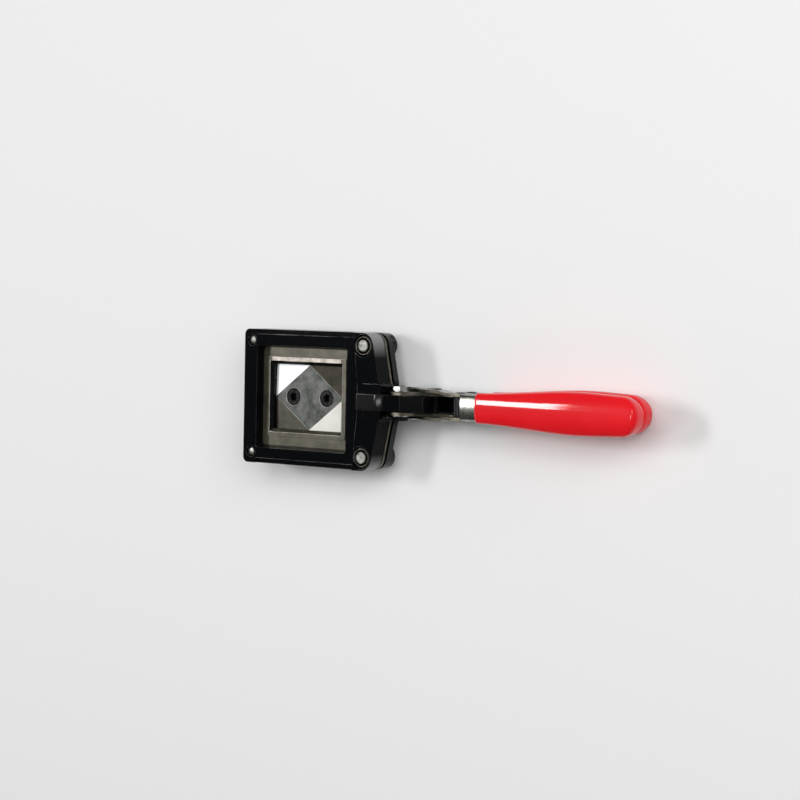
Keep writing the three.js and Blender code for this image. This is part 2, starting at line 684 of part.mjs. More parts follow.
// The wedge that is ground off one corner of the punch.
function cornerFall(signX, signY, top) {
  const reach = 1.2;
  const onX = new THREE.Vector3(signX * punchHalfLength, 0, top);
  const onY = new THREE.Vector3(0, signY * punchHalfWidth, top);
  const corner = new THREE.Vector3(signX * punchHalfLength, signY * punchHalfWidth, top);
  corner.z -= PUNCH_CORNER_DROP;
  const middle = onX.clone().add(onY).multiplyScalar(0.5);
  const spread = (point) => point.clone().sub(middle).multiplyScalar(reach).add(middle);
  const low = [onX, corner, onY].map((point) => spread(point));
  const raisedBy = 2;
  const high = low.map((point) => new THREE.Vector3(point.x, point.y, top + raisedBy));
  const turn = signX * signY > 0;
  return solidOf(lofted(turn ? [low, high] : [low.toReversed(), high.toReversed()]));
}

// A socket head screw, let in flush with the punch's top.
function punchScrew(x) {
  const top = STRIPPER_TOP - 0.4;
  const shoulder = STRIPPER_TOP - PUNCH_SCREW_HEAD_DEPTH;
  const head = post(x, 0, shoulder, top, PUNCH_SCREW_HEAD_RADIUS);
  const shank = post(x, 0, top - PUNCH_SCREW_LENGTH, shoulder + 1, PUNCH_SCREW_RADIUS, SMALL_ROUND);
  const socket = post(x, 0, top - SOCKET_DEPTH, top + 1, SOCKET_RADIUS, 6);
  return joined(head, shank).subtract(socket);
}

function guidePost(side) {
  const y = side * POST_Y;
  const flangeTop = bossBottom - SLIDE_GAP;
  const shaft = post(POST_X, y, flangeTop - 1, blockTop - POST_HEAD_DROP, POST_RADIUS);
  const flange = post(POST_X, y, flangeTop - POST_FLANGE_HEIGHT, flangeTop, POST_FLANGE_RADIUS);
  return shaft.add(flange);
}

// A ring round the post's head, with its bore opened out at the top.
function postCollar(side) {
  const y = side * POST_Y;
  const floor = blockTop - COLLAR_SEAT_DEPTH;
  const bore = POST_RADIUS + SLIDE_GAP;
  const ring = post(POST_X, y, floor, floor + COLLAR_HEIGHT, COLLAR_RADIUS);
  const hole = post(POST_X, y, floor - 1, floor + COLLAR_HEIGHT + 1, bore);
  const mouth = post(POST_X, y, floor + 1.2, floor + COLLAR_HEIGHT + 1, bore, ROUND, bore + COLLAR_MOUTH);
  return cutBy(ring, hole, mouth);
}

function guideBushing(side) {
  const y = side * POST_Y;
  const top = bossBottom + BUSH_FLOOR - 0.5;
  const sleeve = post(POST_X, y, bossBottom, top, BUSH_RADIUS);
  const bore = post(POST_X, y, bossBottom - 1, top + 1, POST_RADIUS + SLIDE_GAP);
  return sleeve.subtract(bore);
}

// One unbroken wire, wound round a guide post between the lower boss and the upper casting.
class SpringLine extends THREE.Curve {
  constructor(x, y, z0, z1) {
    super();
    this.foot = new THREE.Vector3(x, y, z0);
    this.rise = z1 - z0;
  }

  getPoint(share) {
    const turn = share * SPRING_TURNS * 2 * Math.PI;
    const away = SPRING_RADIUS;
    const point = new THREE.Vector3(Math.cos(turn) * away, Math.sin(turn) * away, share * this.rise);
    return point.add(this.foot);
  }
}

const springFoot = bossBottom + BUSH_FLOOR + SPRING_WIRE / 2 + SLIDE_GAP;
const springHead = DIE_BOTTOM - SPRING_WIRE / 2 - SLIDE_GAP;

function returnSpring(side) {
  const line = new SpringLine(POST_X, side * POST_Y, springFoot, springHead);
  const steps = SPRING_TURNS * SPRING_STEPS;
  const rings = [];
  for (let at = 0; at <= steps; at += 1) {
    const centre = line.getPoint(at / steps);
    const turn = (at / SPRING_STEPS) * 2 * Math.PI;
    const out = new THREE.Vector3(Math.cos(turn), Math.sin(turn), 0);
    const ring = [];
    for (let corner = 0; corner < SPRING_SIDES; corner += 1) {
      const angle = (corner / SPRING_SIDES) * 2 * Math.PI;
      const offset = out.clone().multiplyScalar((Math.cos(angle) * SPRING_WIRE) / 2);
      offset.z = (Math.sin(angle) * SPRING_WIRE) / 2;
      ring.push(centre.clone().add(offset));
    }
    rings.push(ring.toReversed());
  }
  return solidOf(lofted(rings));
}

// The least gap between one turn of a spring and the next, measured on points of the wire.
function leastSpringGap() {
  const line = new SpringLine(0, 0, springFoot, springHead);
  const steps = SPRING_TURNS * SPRING_STEPS * 4;
  const points = Array.from({ length: steps + 1 }, (_, at) => line.getPoint(at / steps));
  const apart = (SPRING_STEPS * 4) / 2;
  let least = Infinity;
  points.forEach((point, at) => {
    for (let other = at + apart; other < points.length; other += 1) {
      least = Math.min(least, point.distanceTo(points[other]) - SPRING_WIRE);
    }
  });
  return least;
}

// A cross bolt: hexagon head and washer on one side, nut and washer on the other.
function crossBolt(z, face) {
  const seat = face + WASHER_GAP + WASHER_THICKNESS;
  const end = seat + BOLT_HEAD_HEIGHT;
  const shank = crossRod(FRONT_PIN_X, z, -end + 1, end + BOLT_END, PIN_RADIUS);
  const head = crossHex(FRONT_PIN_X, z, -end, -seat, BOLT_ACROSS_FLATS);
  return shank.add(head);
}

function crossNut(z, face) {
  const seat = face + WASHER_GAP + WASHER_THICKNESS;
  const nut = crossHex(FRONT_PIN_X, z, seat, seat + BOLT_HEAD_HEIGHT, BOLT_ACROSS_FLATS);
  return nut.subtract(crossRod(FRONT_PIN_X, z, 0, seat + BOLT_HEAD_HEIGHT + 1, PIN_RADIUS + SLIDE_GAP));
}

// A flat ring on a cross pin, between y0 and y1.
function crossRing(x, z, y0, y1, radius, bore) {
  const ring = crossRod(x, z, y0, y1, radius);
  return ring.subtract(crossRod(x, z, y0 - 1, y1 + 1, bore));
}

function crossRivet(x, z, face, radius, headRadius, headHeight) {
  const reach = face + WASHER_GAP;
  const shank = crossRod(x, z, -reach - headHeight / 2, reach + headHeight / 2, radius);
  const heads = sides.map(([, side]) => {
    const near = side * reach;
    const far = side * (reach + headHeight);
    return crossRod(x, z, Math.min(near, far), Math.max(near, far), headRadius);
  });
  return joined(shank, ...heads);
}

// The height of a handle's centre line above the pivot, along its grip.
function gripOffset(x) {
  const slope = (GRIP_TIP_OFFSET - GRIP_START_OFFSET) / (UPPER_GRIP_TIP - GRIP_START);
  return GRIP_START_OFFSET + slope * (x - GRIP_START);
}

// The side outline of a handle's cheeks, drawn for the upper handle. The lower handle mirrors it.
function cheekOutline(end, up) {
  const eye = EYE_RADIUS;
  const low = -FRONT_PIN_OFFSET - eye;
  const high = -FRONT_PIN_OFFSET + eye;
  const corners = [
    [FRONT_PIN_X - eye, low, eye * 0.98],
    [FRONT_PIN_X + 3.5, low, 3],
    [FRONT_PIN_X + 10, low + 2.6, 6],
    [RIVET_X + 9, 0.7, 3],
    [GRIP_START, gripOffset(GRIP_START) - CHANNEL_DROP],
    [end, gripOffset(end) - CHANNEL_DROP],
    [end, gripOffset(end) + CHANNEL_RISE, 2],
    [GRIP_START, gripOffset(GRIP_START) + CHANNEL_RISE],
    [WEB_START - 6, gripOffset(WEB_START - 6) + CHANNEL_RISE, 8],
    [RIVET_X - 2, 5.6, 8],
    [FRONT_PIN_X + 3, high, 4],
    [FRONT_PIN_X - eye, high, eye * 0.98],
  ];
  const placed = corners.map(([x, z, radius]) => [x, PIVOT_HEIGHT + up * z, radius]);
  return outline(up > 0 ? placed : placed.toReversed());
}

// A cheek's plan: straight at the pins, joggled sideways to the channel's own width behind them.
function cheekPlan(face, side) {
  const far = UPPER_GRIP_TIP;
  const line = [
    [FRONT_PIN_X - 20, face],
    [JOGGLE_START, face],
    [JOGGLE_END, CHANNEL_CHEEK],
    [far, CHANNEL_CHEEK],
  ];
  const inner = line.map(([x, y]) => [x, side * y]);
  const outer = line.map(([x, y]) => [x, side * (y + SHEET)]).toReversed();
  return outline(side > 0 ? [...inner, ...outer] : [...inner, ...outer].toReversed());
}

// The outer skin of a channel with its two bends rounded, or the space for it with a gap all round.
function bentSection(start, end, up, gap) {
  const width = CHANNEL_CHEEK + SHEET + gap;
  const ringAt = (x) => {
    const top = gripOffset(x) + CHANNEL_RISE + gap;
    const low = gripOffset(x) - CHANNEL_DROP - 3;
    const section = outline([
      [-width, low],
      [width, low],
      [width, top, CHANNEL_BEND_RADIUS + gap],
      [-width, top, CHANNEL_BEND_RADIUS + gap],
    ]);
    const points = section.getPoints(ARC_STEPS).slice(0, -1);
    const ring = points.map((p) => new THREE.Vector3(x, p.x, PIVOT_HEIGHT + up * p.y));
    return up > 0 ? ring : ring.toReversed();
  };
  return solidOf(lofted([ringAt(start), ringAt(end)]));
}

// A channel of sheet steel: two joggled cheeks joined by a web over the grip's length.
function handle(face, end, up) {
  const reach = CHANNEL_CHEEK + SHEET + 2;
  const profile = across(cheekOutline(end, up), -reach, reach);
  const height = 2 * PIVOT_HEIGHT;
  const cheeks = sides.map(([, side]) => profile.intersect(upright(cheekPlan(face, side), 0, height)));
  const webAt = (x) => gripOffset(x) + CHANNEL_RISE;
  const corners = [
    [WEB_START, webAt(WEB_START) - SHEET],
    [end, webAt(end) - SHEET],
    [end, webAt(end)],
    [WEB_START, webAt(WEB_START)],
  ].map(([x, z]) => [x, PIVOT_HEIGHT + up * z]);
  const width = CHANNEL_CHEEK + SHEET;
  const web = across(outline(up > 0 ? corners : corners.toReversed()), -width, width).intersect(profile);
  const whole = joined(web, ...cheeks);
  const front = whole.intersect(block(0, WEB_START, -reach, reach, 0, height));
  const rear = whole.intersect(bentSection(WEB_START, end, up, 0));
  const pinZ = PIVOT_HEIGHT - up * FRONT_PIN_OFFSET;
  const stopZ = PIVOT_HEIGHT + up * STOP_OFFSET;
  return cutBy(
    front.add(rear),
    crossRod(FRONT_PIN_X, pinZ, -12, 12, PIN_RADIUS + SLIDE_GAP),
    crossRod(RIVET_X, PIVOT_HEIGHT, -12, 12, RIVET_RADIUS + SLIDE_GAP),
    crossRod(STOP_X, stopZ, -12, 12, STOP_RIVET_RADIUS + SLIDE_GAP, SMALL_ROUND),
  );
}

// The grip's half width along its length, from its root at 0 to its tip at 1.
function gripHalfWidth(share) {
  const line = new THREE.CatmullRomCurve3([
    new THREE.Vector3(0, GRIP_ROOT_HALF_WIDTH, 0),
    new THREE.Vector3(0.3, (GRIP_ROOT_HALF_WIDTH + GRIP_WIDEST_HALF_WIDTH) / 2 + 0.1, 0),
    new THREE.Vector3(0.62, GRIP_WIDEST_HALF_WIDTH, 0),
    new THREE.Vector3(1, GRIP_END_HALF_WIDTH, 0),
  ]);
  return line.getPoint(share).y;
}

// A dipped grip: a plump sleeve, hollowed by the channel and by the groove inside the channel.
function grip(tip, up) {
  const length = tip - GRIP_START;
  const rings = [];
  for (let at = 0; at <= GRIP_RINGS; at += 1) {
    const run = length * Math.sin((at / GRIP_RINGS) * (Math.PI / 2));
    const x = GRIP_START + run;
    const left = Math.min(1, (length - run) / GRIP_END_ROUNDING);
    const rounding = Math.max(0.06, Math.sqrt(1 - (1 - left) ** 2));
    const halfWidth = gripHalfWidth(run / length) * rounding;
    const nearEnd = Math.min(1, (length - run) / GRIP_END_EDGE);
    const fullness = 0.3 + 0.7 * Math.sqrt(1 - (1 - nearEnd) ** 2);
    const outer = GRIP_OUTER_THICKNESS * fullness;
    const inner = GRIP_INNER_THICKNESS * fullness;
    const square = THREE.MathUtils.lerp(
      GRIP_ROOT_SQUARENESS,
      GRIP_SQUARENESS,
      THREE.MathUtils.smoothstep(run / length, 0, GRIP_SQUARE_RUN),
    );
    const ring = [];
    for (let point = 0; point < GRIP_RING_POINTS; point += 1) {
      const angle = (point / GRIP_RING_POINTS) * 2 * Math.PI;
      const y = Math.sign(Math.cos(angle)) * Math.abs(Math.cos(angle)) ** square * halfWidth;
      const camber = y ** 2 / (2 * GRIP_CAMBER_RADIUS);
      const thickness = Math.sin(angle) > 0 ? outer - camber : inner;
      const z = Math.sign(Math.sin(angle)) * Math.abs(Math.sin(angle)) ** square * thickness;
      ring.push(new THREE.Vector3(x, y, PIVOT_HEIGHT + up * (gripOffset(x) + z)));
    }
    rings.push(up > 0 ? ring : ring.toReversed());
  }
  const sleeve = solidOf(lofted(rings));
  const end = tip - GRIP_TIP_COVER;
  const gap = SLIDE_GAP;
  const wide = CHANNEL_CHEEK + SHEET + gap;
  const bandAt = (fromZ, toZ, x0, x1) => {
    const corners = [
      [x0, gripOffset(x0) + fromZ],
      [x1, gripOffset(x1) + fromZ],
      [x1, gripOffset(x1) + toZ],
      [x0, gripOffset(x0) + toZ],
    ].map(([x, z]) => [x, PIVOT_HEIGHT + up * z]);
    return outline(up > 0 ? corners : corners.toReversed());
  };
  const start = GRIP_START - 1;
  const webBand = bandAt(CHANNEL_RISE - SHEET - gap, CHANNEL_RISE + gap, start, end + gap);
  const webSlot = across(webBand, -wide, wide);
  const cheekSlots = sides.map(([, side]) => {
    const near = side * (CHANNEL_CHEEK - gap);
    const far = side * wide;
    const band = bandAt(-CHANNEL_DROP - gap, CHANNEL_RISE + gap, start, end + gap);
    return across(band, Math.min(near, far), Math.max(near, far));
  });
  const grooveHalf = CHANNEL_CHEEK - gap - GRIP_INNER_COAT;
  const grooveTop = CHANNEL_RISE - SHEET - gap - GRIP_INNER_COAT;
  const groove = across(bandAt(-20, grooveTop, start, end - 6), -grooveHalf, grooveHalf);
  const slot = joined(webSlot, ...cheekSlots).intersect(bentSection(start, end + gap, up, gap));
  return cutBy(sleeve, slot, groove);
}

// The upper casting and what rides on it
place("upper_casting", upperCasting(), blackEnamel);
place("die_plate", diePlate(), groundSteel);
for (const { name, x, y, z } of plateScrews) place(name, plateScrew(x, y, z, 0), blackSteel);
place("stripper_plate", stripperPlate(), brightSteel);
place("photo_stop", photoStop(), brightSteel);
place("upper_pivot_bolt", crossBolt(upperPinZ, INNER_CHEEK + SHEET), blackSteel);
place("upper_pivot_nut", crossNut(upperPinZ, INNER_CHEEK + SHEET), nickelPlate);

// The lower casting and what rides on it
place("lower_casting", lowerCasting(), blackEnamel);
place("punch", punch(), groundSteel);
const lowerPivot = crossRivet(
  FRONT_PIN_X,
  lowerPinZ,
  OUTER_CHEEK + SHEET,
  PIN_RADIUS,
  RIVET_HEAD_RADIUS,
  RIVET_HEAD_HEIGHT,
);
place("lower_pivot_rivet", lowerPivot, nickelPlate);
place("punch_screw_front", punchScrew(-PUNCH_SCREW_SPACING / 2), blackSteel);
place("punch_screw_rear", punchScrew(PUNCH_SCREW_SPACING / 2), blackSteel);

for (const [name, side] of sides) {
  place("guide_post_" + name, guidePost(side), brightSteel);
  place("post_collar_" + name, postCollar(side), nickelPlate);
  place("guide_bushing_" + name, guideBushing(side), bronze);
  place("return_spring_" + name, returnSpring(side), springSteel);
  place("punch_dowel_" + name, dowelPin(side, 0), blackSteel);

  const y = side * CORNER_SCREW_Y;
  const seat = railTop - CORNER_SEAT_DEPTH;
  const head = post(-CORNER_SCREW_X, y, seat, seat + CORNER_SCREW_HEAD_HEIGHT, CORNER_SCREW_HEAD_RADIUS);
  const shank = post(-CORNER_SCREW_X, y, STRIPPER_BOTTOM, seat + 1, CORNER_SCREW_RADIUS, SMALL_ROUND);
  place("corner_screw_" + name, head.add(shank), nickelPlate);
  const spacer = post(-CORNER_SCREW_X, y, STRIPPER_TOP, DIE_BOTTOM, SPACER_RADIUS);
  const bore = post(
    -CORNER_SCREW_X,
    y,
    STRIPPER_TOP - 1,
    DIE_BOTTOM + 1,
    CORNER_SCREW_RADIUS + SLIDE_GAP,
    SMALL_ROUND,
  );
  place("corner_spacer_" + name, spacer.subtract(bore), brightSteel);

  const pinRing = (z, from, thickness) => {
    const near = Math.min(side * from, side * (from + thickness));
    const far = near + thickness;
    return crossRing(FRONT_PIN_X, z, near, far, WASHER_RADIUS, PIN_RADIUS + SLIDE_GAP);
  };
  const washer = pinRing(upperPinZ, INNER_CHEEK + SHEET + WASHER_GAP, WASHER_THICKNESS);
  place("upper_pivot_washer_" + name, washer, nickelPlate);
  place("lower_pivot_spacer_" + name, pinRing(lowerPinZ, INNER_CHEEK, SHEET), brightSteel);
}

// The handles
const channelReach = CHANNEL_CHEEK + SHEET;
for (const [name, up, face, tip] of [
  ["upper", 1, OUTER_CHEEK, UPPER_GRIP_TIP],
  ["lower", -1, INNER_CHEEK, LOWER_GRIP_TIP],
]) {
  const stopZ = PIVOT_HEIGHT + up * STOP_OFFSET;
  place(name + "_handle", handle(face, tip - GRIP_TIP_COVER, up), nickelPlate);
  place(name + "_grip", grip(tip, up), redVinyl);
  const stopRivet = crossRivet(
    STOP_X,
    stopZ,
    channelReach,
    STOP_RIVET_RADIUS,
    STOP_HEAD_RADIUS,
    STOP_HEAD_HEIGHT,
  );
  place(name + "_stop_rivet", stopRivet, blackSteel);
  const inner = CHANNEL_CHEEK - SLIDE_GAP;
  const bore = STOP_RIVET_RADIUS + SLIDE_GAP;
  place(name + "_stop_spacer", crossRing(STOP_X, stopZ, -inner, inner, STOP_RADIUS, bore), blackSteel);
}
const centreRivet = crossRivet(
  RIVET_X,
  PIVOT_HEIGHT,
  OUTER_CHEEK + SHEET,
  RIVET_RADIUS,
  RIVET_HEAD_RADIUS,
  RIVET_HEAD_HEIGHT,
);
place("centre_rivet", centreRivet, nickelPlate);

console.log("least gap between a spring's turns:", leastSpringGap().toFixed(2), "mm");

// The part's own origin is the middle of its footprint, on the table.
const bounds = new THREE.Box3().setFromObject(cutter);
cutter.position.set(-(bounds.min.x + bounds.max.x) / 2, 0, -bounds.min.z);

export default cutter;
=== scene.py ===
# %% [markdown]
# # A photo cutter with crossing handles
# This lesson dresses a solid model of a hand-held photo cutter. The solid model, called the frame
# here, has plain faces and sharp edges. The real tool has rounded castings under glossy black
# enamel, ground steel, nickel plate and dipped red vinyl, and those are made here piece by piece.

# %% Load the frame
import math

import bmesh
import bpy
from mathutils import Matrix, Vector


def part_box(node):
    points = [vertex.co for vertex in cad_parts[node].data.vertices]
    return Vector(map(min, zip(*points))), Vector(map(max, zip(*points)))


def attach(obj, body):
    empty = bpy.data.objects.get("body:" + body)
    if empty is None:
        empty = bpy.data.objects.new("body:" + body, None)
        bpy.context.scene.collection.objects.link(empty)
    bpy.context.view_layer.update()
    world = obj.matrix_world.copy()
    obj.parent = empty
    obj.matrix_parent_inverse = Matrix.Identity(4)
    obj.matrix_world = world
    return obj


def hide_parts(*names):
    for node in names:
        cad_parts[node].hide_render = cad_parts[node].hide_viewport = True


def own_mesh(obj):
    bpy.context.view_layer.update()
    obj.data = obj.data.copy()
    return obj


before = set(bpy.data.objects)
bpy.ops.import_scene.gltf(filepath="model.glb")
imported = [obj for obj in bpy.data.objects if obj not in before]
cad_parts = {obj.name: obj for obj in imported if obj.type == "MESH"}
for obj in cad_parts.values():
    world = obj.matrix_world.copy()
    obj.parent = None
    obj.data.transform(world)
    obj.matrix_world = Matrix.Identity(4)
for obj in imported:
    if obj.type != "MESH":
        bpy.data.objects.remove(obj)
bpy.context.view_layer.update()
print("frame pieces:", len(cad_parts))

# %% [markdown]
# ## Millimetres from the punch
# A tool like this is drawn in millimetres, and most of its sizes are read from the centre of the
# punch. Each piece is therefore modelled in those numbers and moved into metres as it is finished.

# %% The working units
MM = 0.001
PUNCH_X = -84.35
TO_FRAME = Matrix.Translation((PUNCH_X * MM, 0, 0)) @ Matrix.Scale(MM, 4)
FROM_FRAME = TO_FRAME.inverted()
UP = Vector((0, 0, 1))


# %% [markdown]
# ## Finishing a piece
# Every piece ends the same way: its normals are made to point outwards, its faces are shaded smooth
# up to a crease angle, and a Weighted Normal modifier keeps the large flat faces looking flat beside
# their narrow rounded edges. Then the piece rides on a body of the frame and replaces its plain node.

# %% Turn a bmesh into a finished piece
def finish_piece(node, bm, finishes, body, crease=32):
    bmesh.ops.transform(bm, matrix=TO_FRAME, verts=bm.verts)
    bmesh.ops.recalc_face_normals(bm, faces=bm.faces)
    name = "dressed_" + node
    mesh = bpy.data.meshes.new(name)
    bm.to_mesh(mesh)
    bm.free()
    mesh.shade_smooth()
    mesh.set_sharp_from_angle(angle=math.radians(crease))
    for finish in finishes:
        mesh.materials.append(finish)
    piece = bpy.data.objects.new(name, mesh)
    bpy.context.scene.collection.objects.link(piece)
    flat_faces = piece.modifiers.new("flat faces stay flat", "WEIGHTED_NORMAL")
    flat_faces.keep_sharp = True
    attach(piece, body)
    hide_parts(node)
    return piece


# %% [markdown]
# ## Noise that belongs to the metal
# No real surface has one colour or one gloss. A small group of nodes is written once: it takes
# Object coordinates, stretches them, and gives a noise between two values. Each finish then uses it
# for its colour, its roughness and its bump, at the size that the real grain has.

# %% Helpers for the materials
EVEN = (1, 1, 1)


def new_finish(name):
    finish = bpy.data.materials.new(name)
    finish.use_nodes = True
    nodes = finish.node_tree.nodes
    return finish, nodes, finish.node_tree.links, nodes["Principled BSDF"]


def noise(nodes, links, per_mm, stretch=EVEN, detail=4, roughness=0.55):
    place = nodes.new("ShaderNodeTexCoord")
    mapping = nodes.new("ShaderNodeMapping")
    mapping.inputs["Scale"].default_value = stretch
    links.new(place.outputs["Object"], mapping.inputs["Vector"])
    texture = nodes.new("ShaderNodeTexNoise")
    texture.inputs["Scale"].default_value = per_mm / MM
    texture.inputs["Detail"].default_value = detail
    texture.inputs["Roughness"].default_value = roughness
    links.new(mapping.outputs["Vector"], texture.inputs["Vector"])
    return texture.outputs["Fac"]


def between(nodes, links, fac, low, high, start=0.3, end=0.7):
    spread = nodes.new("ShaderNodeMapRange")
    spread.inputs["From Min"].default_value = start
    spread.inputs["From Max"].default_value = end
    spread.inputs["To Min"].default_value = low
    spread.inputs["To Max"].default_value = high
    links.new(fac, spread.inputs["Value"])
    return spread.outputs["Result"]


def two_colours(nodes, links, fac, first, second, start=0.35, end=0.65):
    ramp = nodes.new("ShaderNodeValToRGB")
    ramp.color_ramp.elements[0].position = start
    ramp.color_ramp.elements[0].color = (*first, 1)
    ramp.color_ramp.elements[1].position = end
    ramp.color_ramp.elements[1].color = (*second, 1)
    links.new(fac, ramp.inputs["Fac"])
    return ramp.outputs["Color"]


def bump(nodes, links, shader, height, strength, depth_mm):
    relief = nodes.new("ShaderNodeBump")
    relief.inputs["Strength"].default_value = strength
    relief.inputs["Distance"].default_value = depth_mm * MM
    links.new(height, relief.inputs["Height"])
    links.new(relief.outputs["Normal"], shader.inputs["Normal"])


# %% [markdown]
# ## A face that is never quite flat
# The bend in the arm's top and the web of a handle are domed a little from side to side. The dome is
# far too shallow to model, but it decides where the light lands, so a bump whose height falls with
# the square of the distance from the middle bends the light instead.

# %% A shallow dome across a finish
def domed(finish, radius_mm):
    nodes = finish.node_tree.nodes
    links = finish.node_tree.links
    place = nodes.new("ShaderNodeTexCoord")
    parts = nodes.new("ShaderNodeSeparateXYZ")
    links.new(place.outputs["Object"], parts.inputs["Vector"])
    square = nodes.new("ShaderNodeMath")
    square.operation = "MULTIPLY"
    links.new(parts.outputs["Y"], square.inputs[0])
    links.new(parts.outputs["Y"], square.inputs[1])
    fall = nodes.new("ShaderNodeMath")
    fall.operation = "MULTIPLY"
    fall.inputs[1].default_value = -1 / (2 * radius_mm * MM * MM)
    links.new(square.outputs["Value"], fall.inputs[0])
    dome = nodes.new("ShaderNodeBump")
    dome.inputs["Distance"].default_value = MM
    links.new(fall.outputs["Value"], dome.inputs["Height"])
    grain = nodes["Principled BSDF"].inputs["Normal"].links[0].from_node
    links.new(dome.outputs["Normal"], grain.inputs["Normal"])
    return finish


# %% [markdown]
# ## Black enamel
# The castings are dipped or sprayed in a thick glossy black. Such enamel is nearly black itself, and
# all that is seen of it is reflection. It also shows the faint waviness of the casting underneath,
# and a little dust, which makes some places duller than others.

# %% Black enamel for the castings
def black_enamel(name, dark, light, rough, waviness, shine=0.32):
    finish, nodes, links, shader = new_finish(name)
    waves = noise(nodes, links, 0.16, detail=2)
    dust = noise(nodes, links, 0.9, detail=6, roughness=0.7)
    links.new(two_colours(nodes, links, dust, dark, light), shader.inputs["Base Color"])
    links.new(between(nodes, links, dust, *rough), shader.inputs["Roughness"])
    shader.inputs["Specular IOR Level"].default_value = shine
    bump(nodes, links, shader, waves, 0.3, waviness)
    return finish


# The arm's top enamel is a little lighter than the rest: partly wear, partly a painted sheen for the grey
# tone that light gives that face.
WORN_SHEEN_DARK = (0.0035, 0.0035, 0.0038)
WORN_SHEEN_LIGHT = (0.005, 0.005, 0.0053)
ENAMEL = black_enamel("black enamel", (0.0008, 0.0012, 0.002), (0.0016, 0.002, 0.0028), (0.03, 0.07), 0.07)
WORN_SHEEN_ENAMEL = black_enamel("black enamel, worn, painted sheen", WORN_SHEEN_DARK, WORN_SHEEN_LIGHT, (0.1, 0.15), 0.05)
BEND_ENAMEL = domed(black_enamel("black enamel, bend", WORN_SHEEN_DARK, WORN_SHEEN_LIGHT, (0.13, 0.18), 0.03), 45)
TAIL_ENAMEL = black_enamel(
    "black enamel, tail", (0.0012, 0.0012, 0.0015), (0.003, 0.003, 0.0034), (0.16, 0.22), 0.05, 0.04
)
print("plain enamels:", ENAMEL.name, "|", WORN_SHEEN_ENAMEL.name, "|", BEND_ENAMEL.name, "|", TAIL_ENAMEL.name)

# %% [markdown]
# ## Gloss that grows towards the corners
# On the casting's walls the coat ran together at the corners, where it is thickest and shines most.
# A higher index of refraction makes a coat shine more, so here it follows the distance from the
# middle of the tool. The front wall gets a little less of it than the rear one.

# %% Enamel for the casting's walls
GLOSS_START = 23
GLOSS_END = 34
MIDDLE_INDEX = 1.12
CORNER_INDEX = 2.7
FRONT_SHARE = 0.84


def corner_enamel():
    finish = black_enamel(
        "black enamel, walls", (0.001, 0.0013, 0.002), (0.003, 0.0035, 0.0045), (0.2, 0.3), 0.1, 0.7
    )
    nodes = finish.node_tree.nodes
    links = finish.node_tree.links
    place = nodes.new("ShaderNodeTexCoord")
    parts = nodes.new("ShaderNodeSeparateXYZ")
    links.new(place.outputs["Object"], parts.inputs["Vector"])
    front = nodes.new("ShaderNodeMath")
    front.operation = "MULTIPLY"
    front.inputs[1].default_value = -FRONT_SHARE
    links.new(parts.outputs["Y"], front.inputs[0])
    aside = nodes.new("ShaderNodeMath")
    aside.operation = "MAXIMUM"
    links.new(parts.outputs["Y"], aside.inputs[0])
    links.new(front.outputs["Value"], aside.inputs[1])
    gloss = between(
        nodes, links, aside.outputs["Value"], MIDDLE_INDEX, CORNER_INDEX, GLOSS_START * MM, GLOSS_END * MM
    )
    links.new(gloss, nodes["Principled BSDF"].inputs["IOR"])
    return finish


WALL_ENAMEL = corner_enamel()
print("index of refraction on the walls:", MIDDLE_INDEX, "to", CORNER_INDEX)

# %% [markdown]
# ## Steel in its several states
# The same metal shader gives ground steel, nickel, black oxide and bronze. What changes is the
# colour, how rough it is, and which way the grain runs: a stretch of 1 along a direction and many
# across it makes the fine scratches of a grinding wheel.

# %% One maker for all the metals
def metal(name, dark, light, rough, grain=EVEN, per_mm=1.2, relief=0.02, blotch=0.12, metallic=1.0):
    """The grain's stretch and number per mm go with the roughness, and the blotches with the colour."""
    finish, nodes, links, shader = new_finish(name)
    grains = noise(nodes, links, per_mm, stretch=grain, detail=5, roughness=0.6)
    cloud = noise(nodes, links, blotch, detail=5, roughness=0.65)
    links.new(two_colours(nodes, links, cloud, dark, light), shader.inputs["Base Color"])
    shader.inputs["Metallic"].default_value = metallic
    links.new(between(nodes, links, grains, *rough), shader.inputs["Roughness"])
    bump(nodes, links, shader, grains, 0.5, relief)
    return finish


# %% [markdown]
# ## Painted highlights on edges and on the die
# The highlights along the casting's upper edges are painted as a grey metal finish on the rounded edges, and
# the bright line along the front ledge as a paler one. Blotches run from black to grey, so an edge is bright
# in one place and black in the next. The die's plate is dull, and the bright band on its bead and the bright
# lines on its edges are painted highlights.

# %% Edges of the casting, and the die plate
PAINTED_EDGE_HIGHLIGHT = metal(
    "enamel, painted edge highlight", (0.006, 0.006, 0.007), (0.26, 0.26, 0.265), (0.36, 0.5), blotch=0.1
)
PAINTED_LEDGE_HIGHLIGHT = metal("enamel, painted ledge highlight", (0.2, 0.2, 0.2), (0.9, 0.9, 0.88), (0.4, 0.5), blotch=0.06)
DIE_STEEL = metal(
    "ground die steel", (0.05, 0.045, 0.03), (0.098, 0.09, 0.064), (0.3, 0.42), (1, 9, 1), 0.5, metallic=0.4
)
# Painted highlights for the die: a bright steel for its rounded edges, and a band on the rear side of its
# bead.
DIE_EDGE_HIGHLIGHT = metal(
    "ground die steel, painted edge highlight", (0.34, 0.32, 0.27), (0.9, 0.87, 0.82), (0.26, 0.38), EVEN, 0.5
)
RIM_PAINTED_HIGHLIGHT = metal(
    "ground die steel, painted rim highlight",
    (0.17, 0.152, 0.13),
    (0.38, 0.345, 0.31),
    (0.3, 0.4),
    (1, 3, 1),
    0.5,
    blotch=0.2,
)
print("edge and die finishes:", [f.name for f in (PAINTED_EDGE_HIGHLIGHT, PAINTED_LEDGE_HIGHLIGHT, DIE_STEEL, DIE_EDGE_HIGHLIGHT, RIM_PAINTED_HIGHLIGHT)])
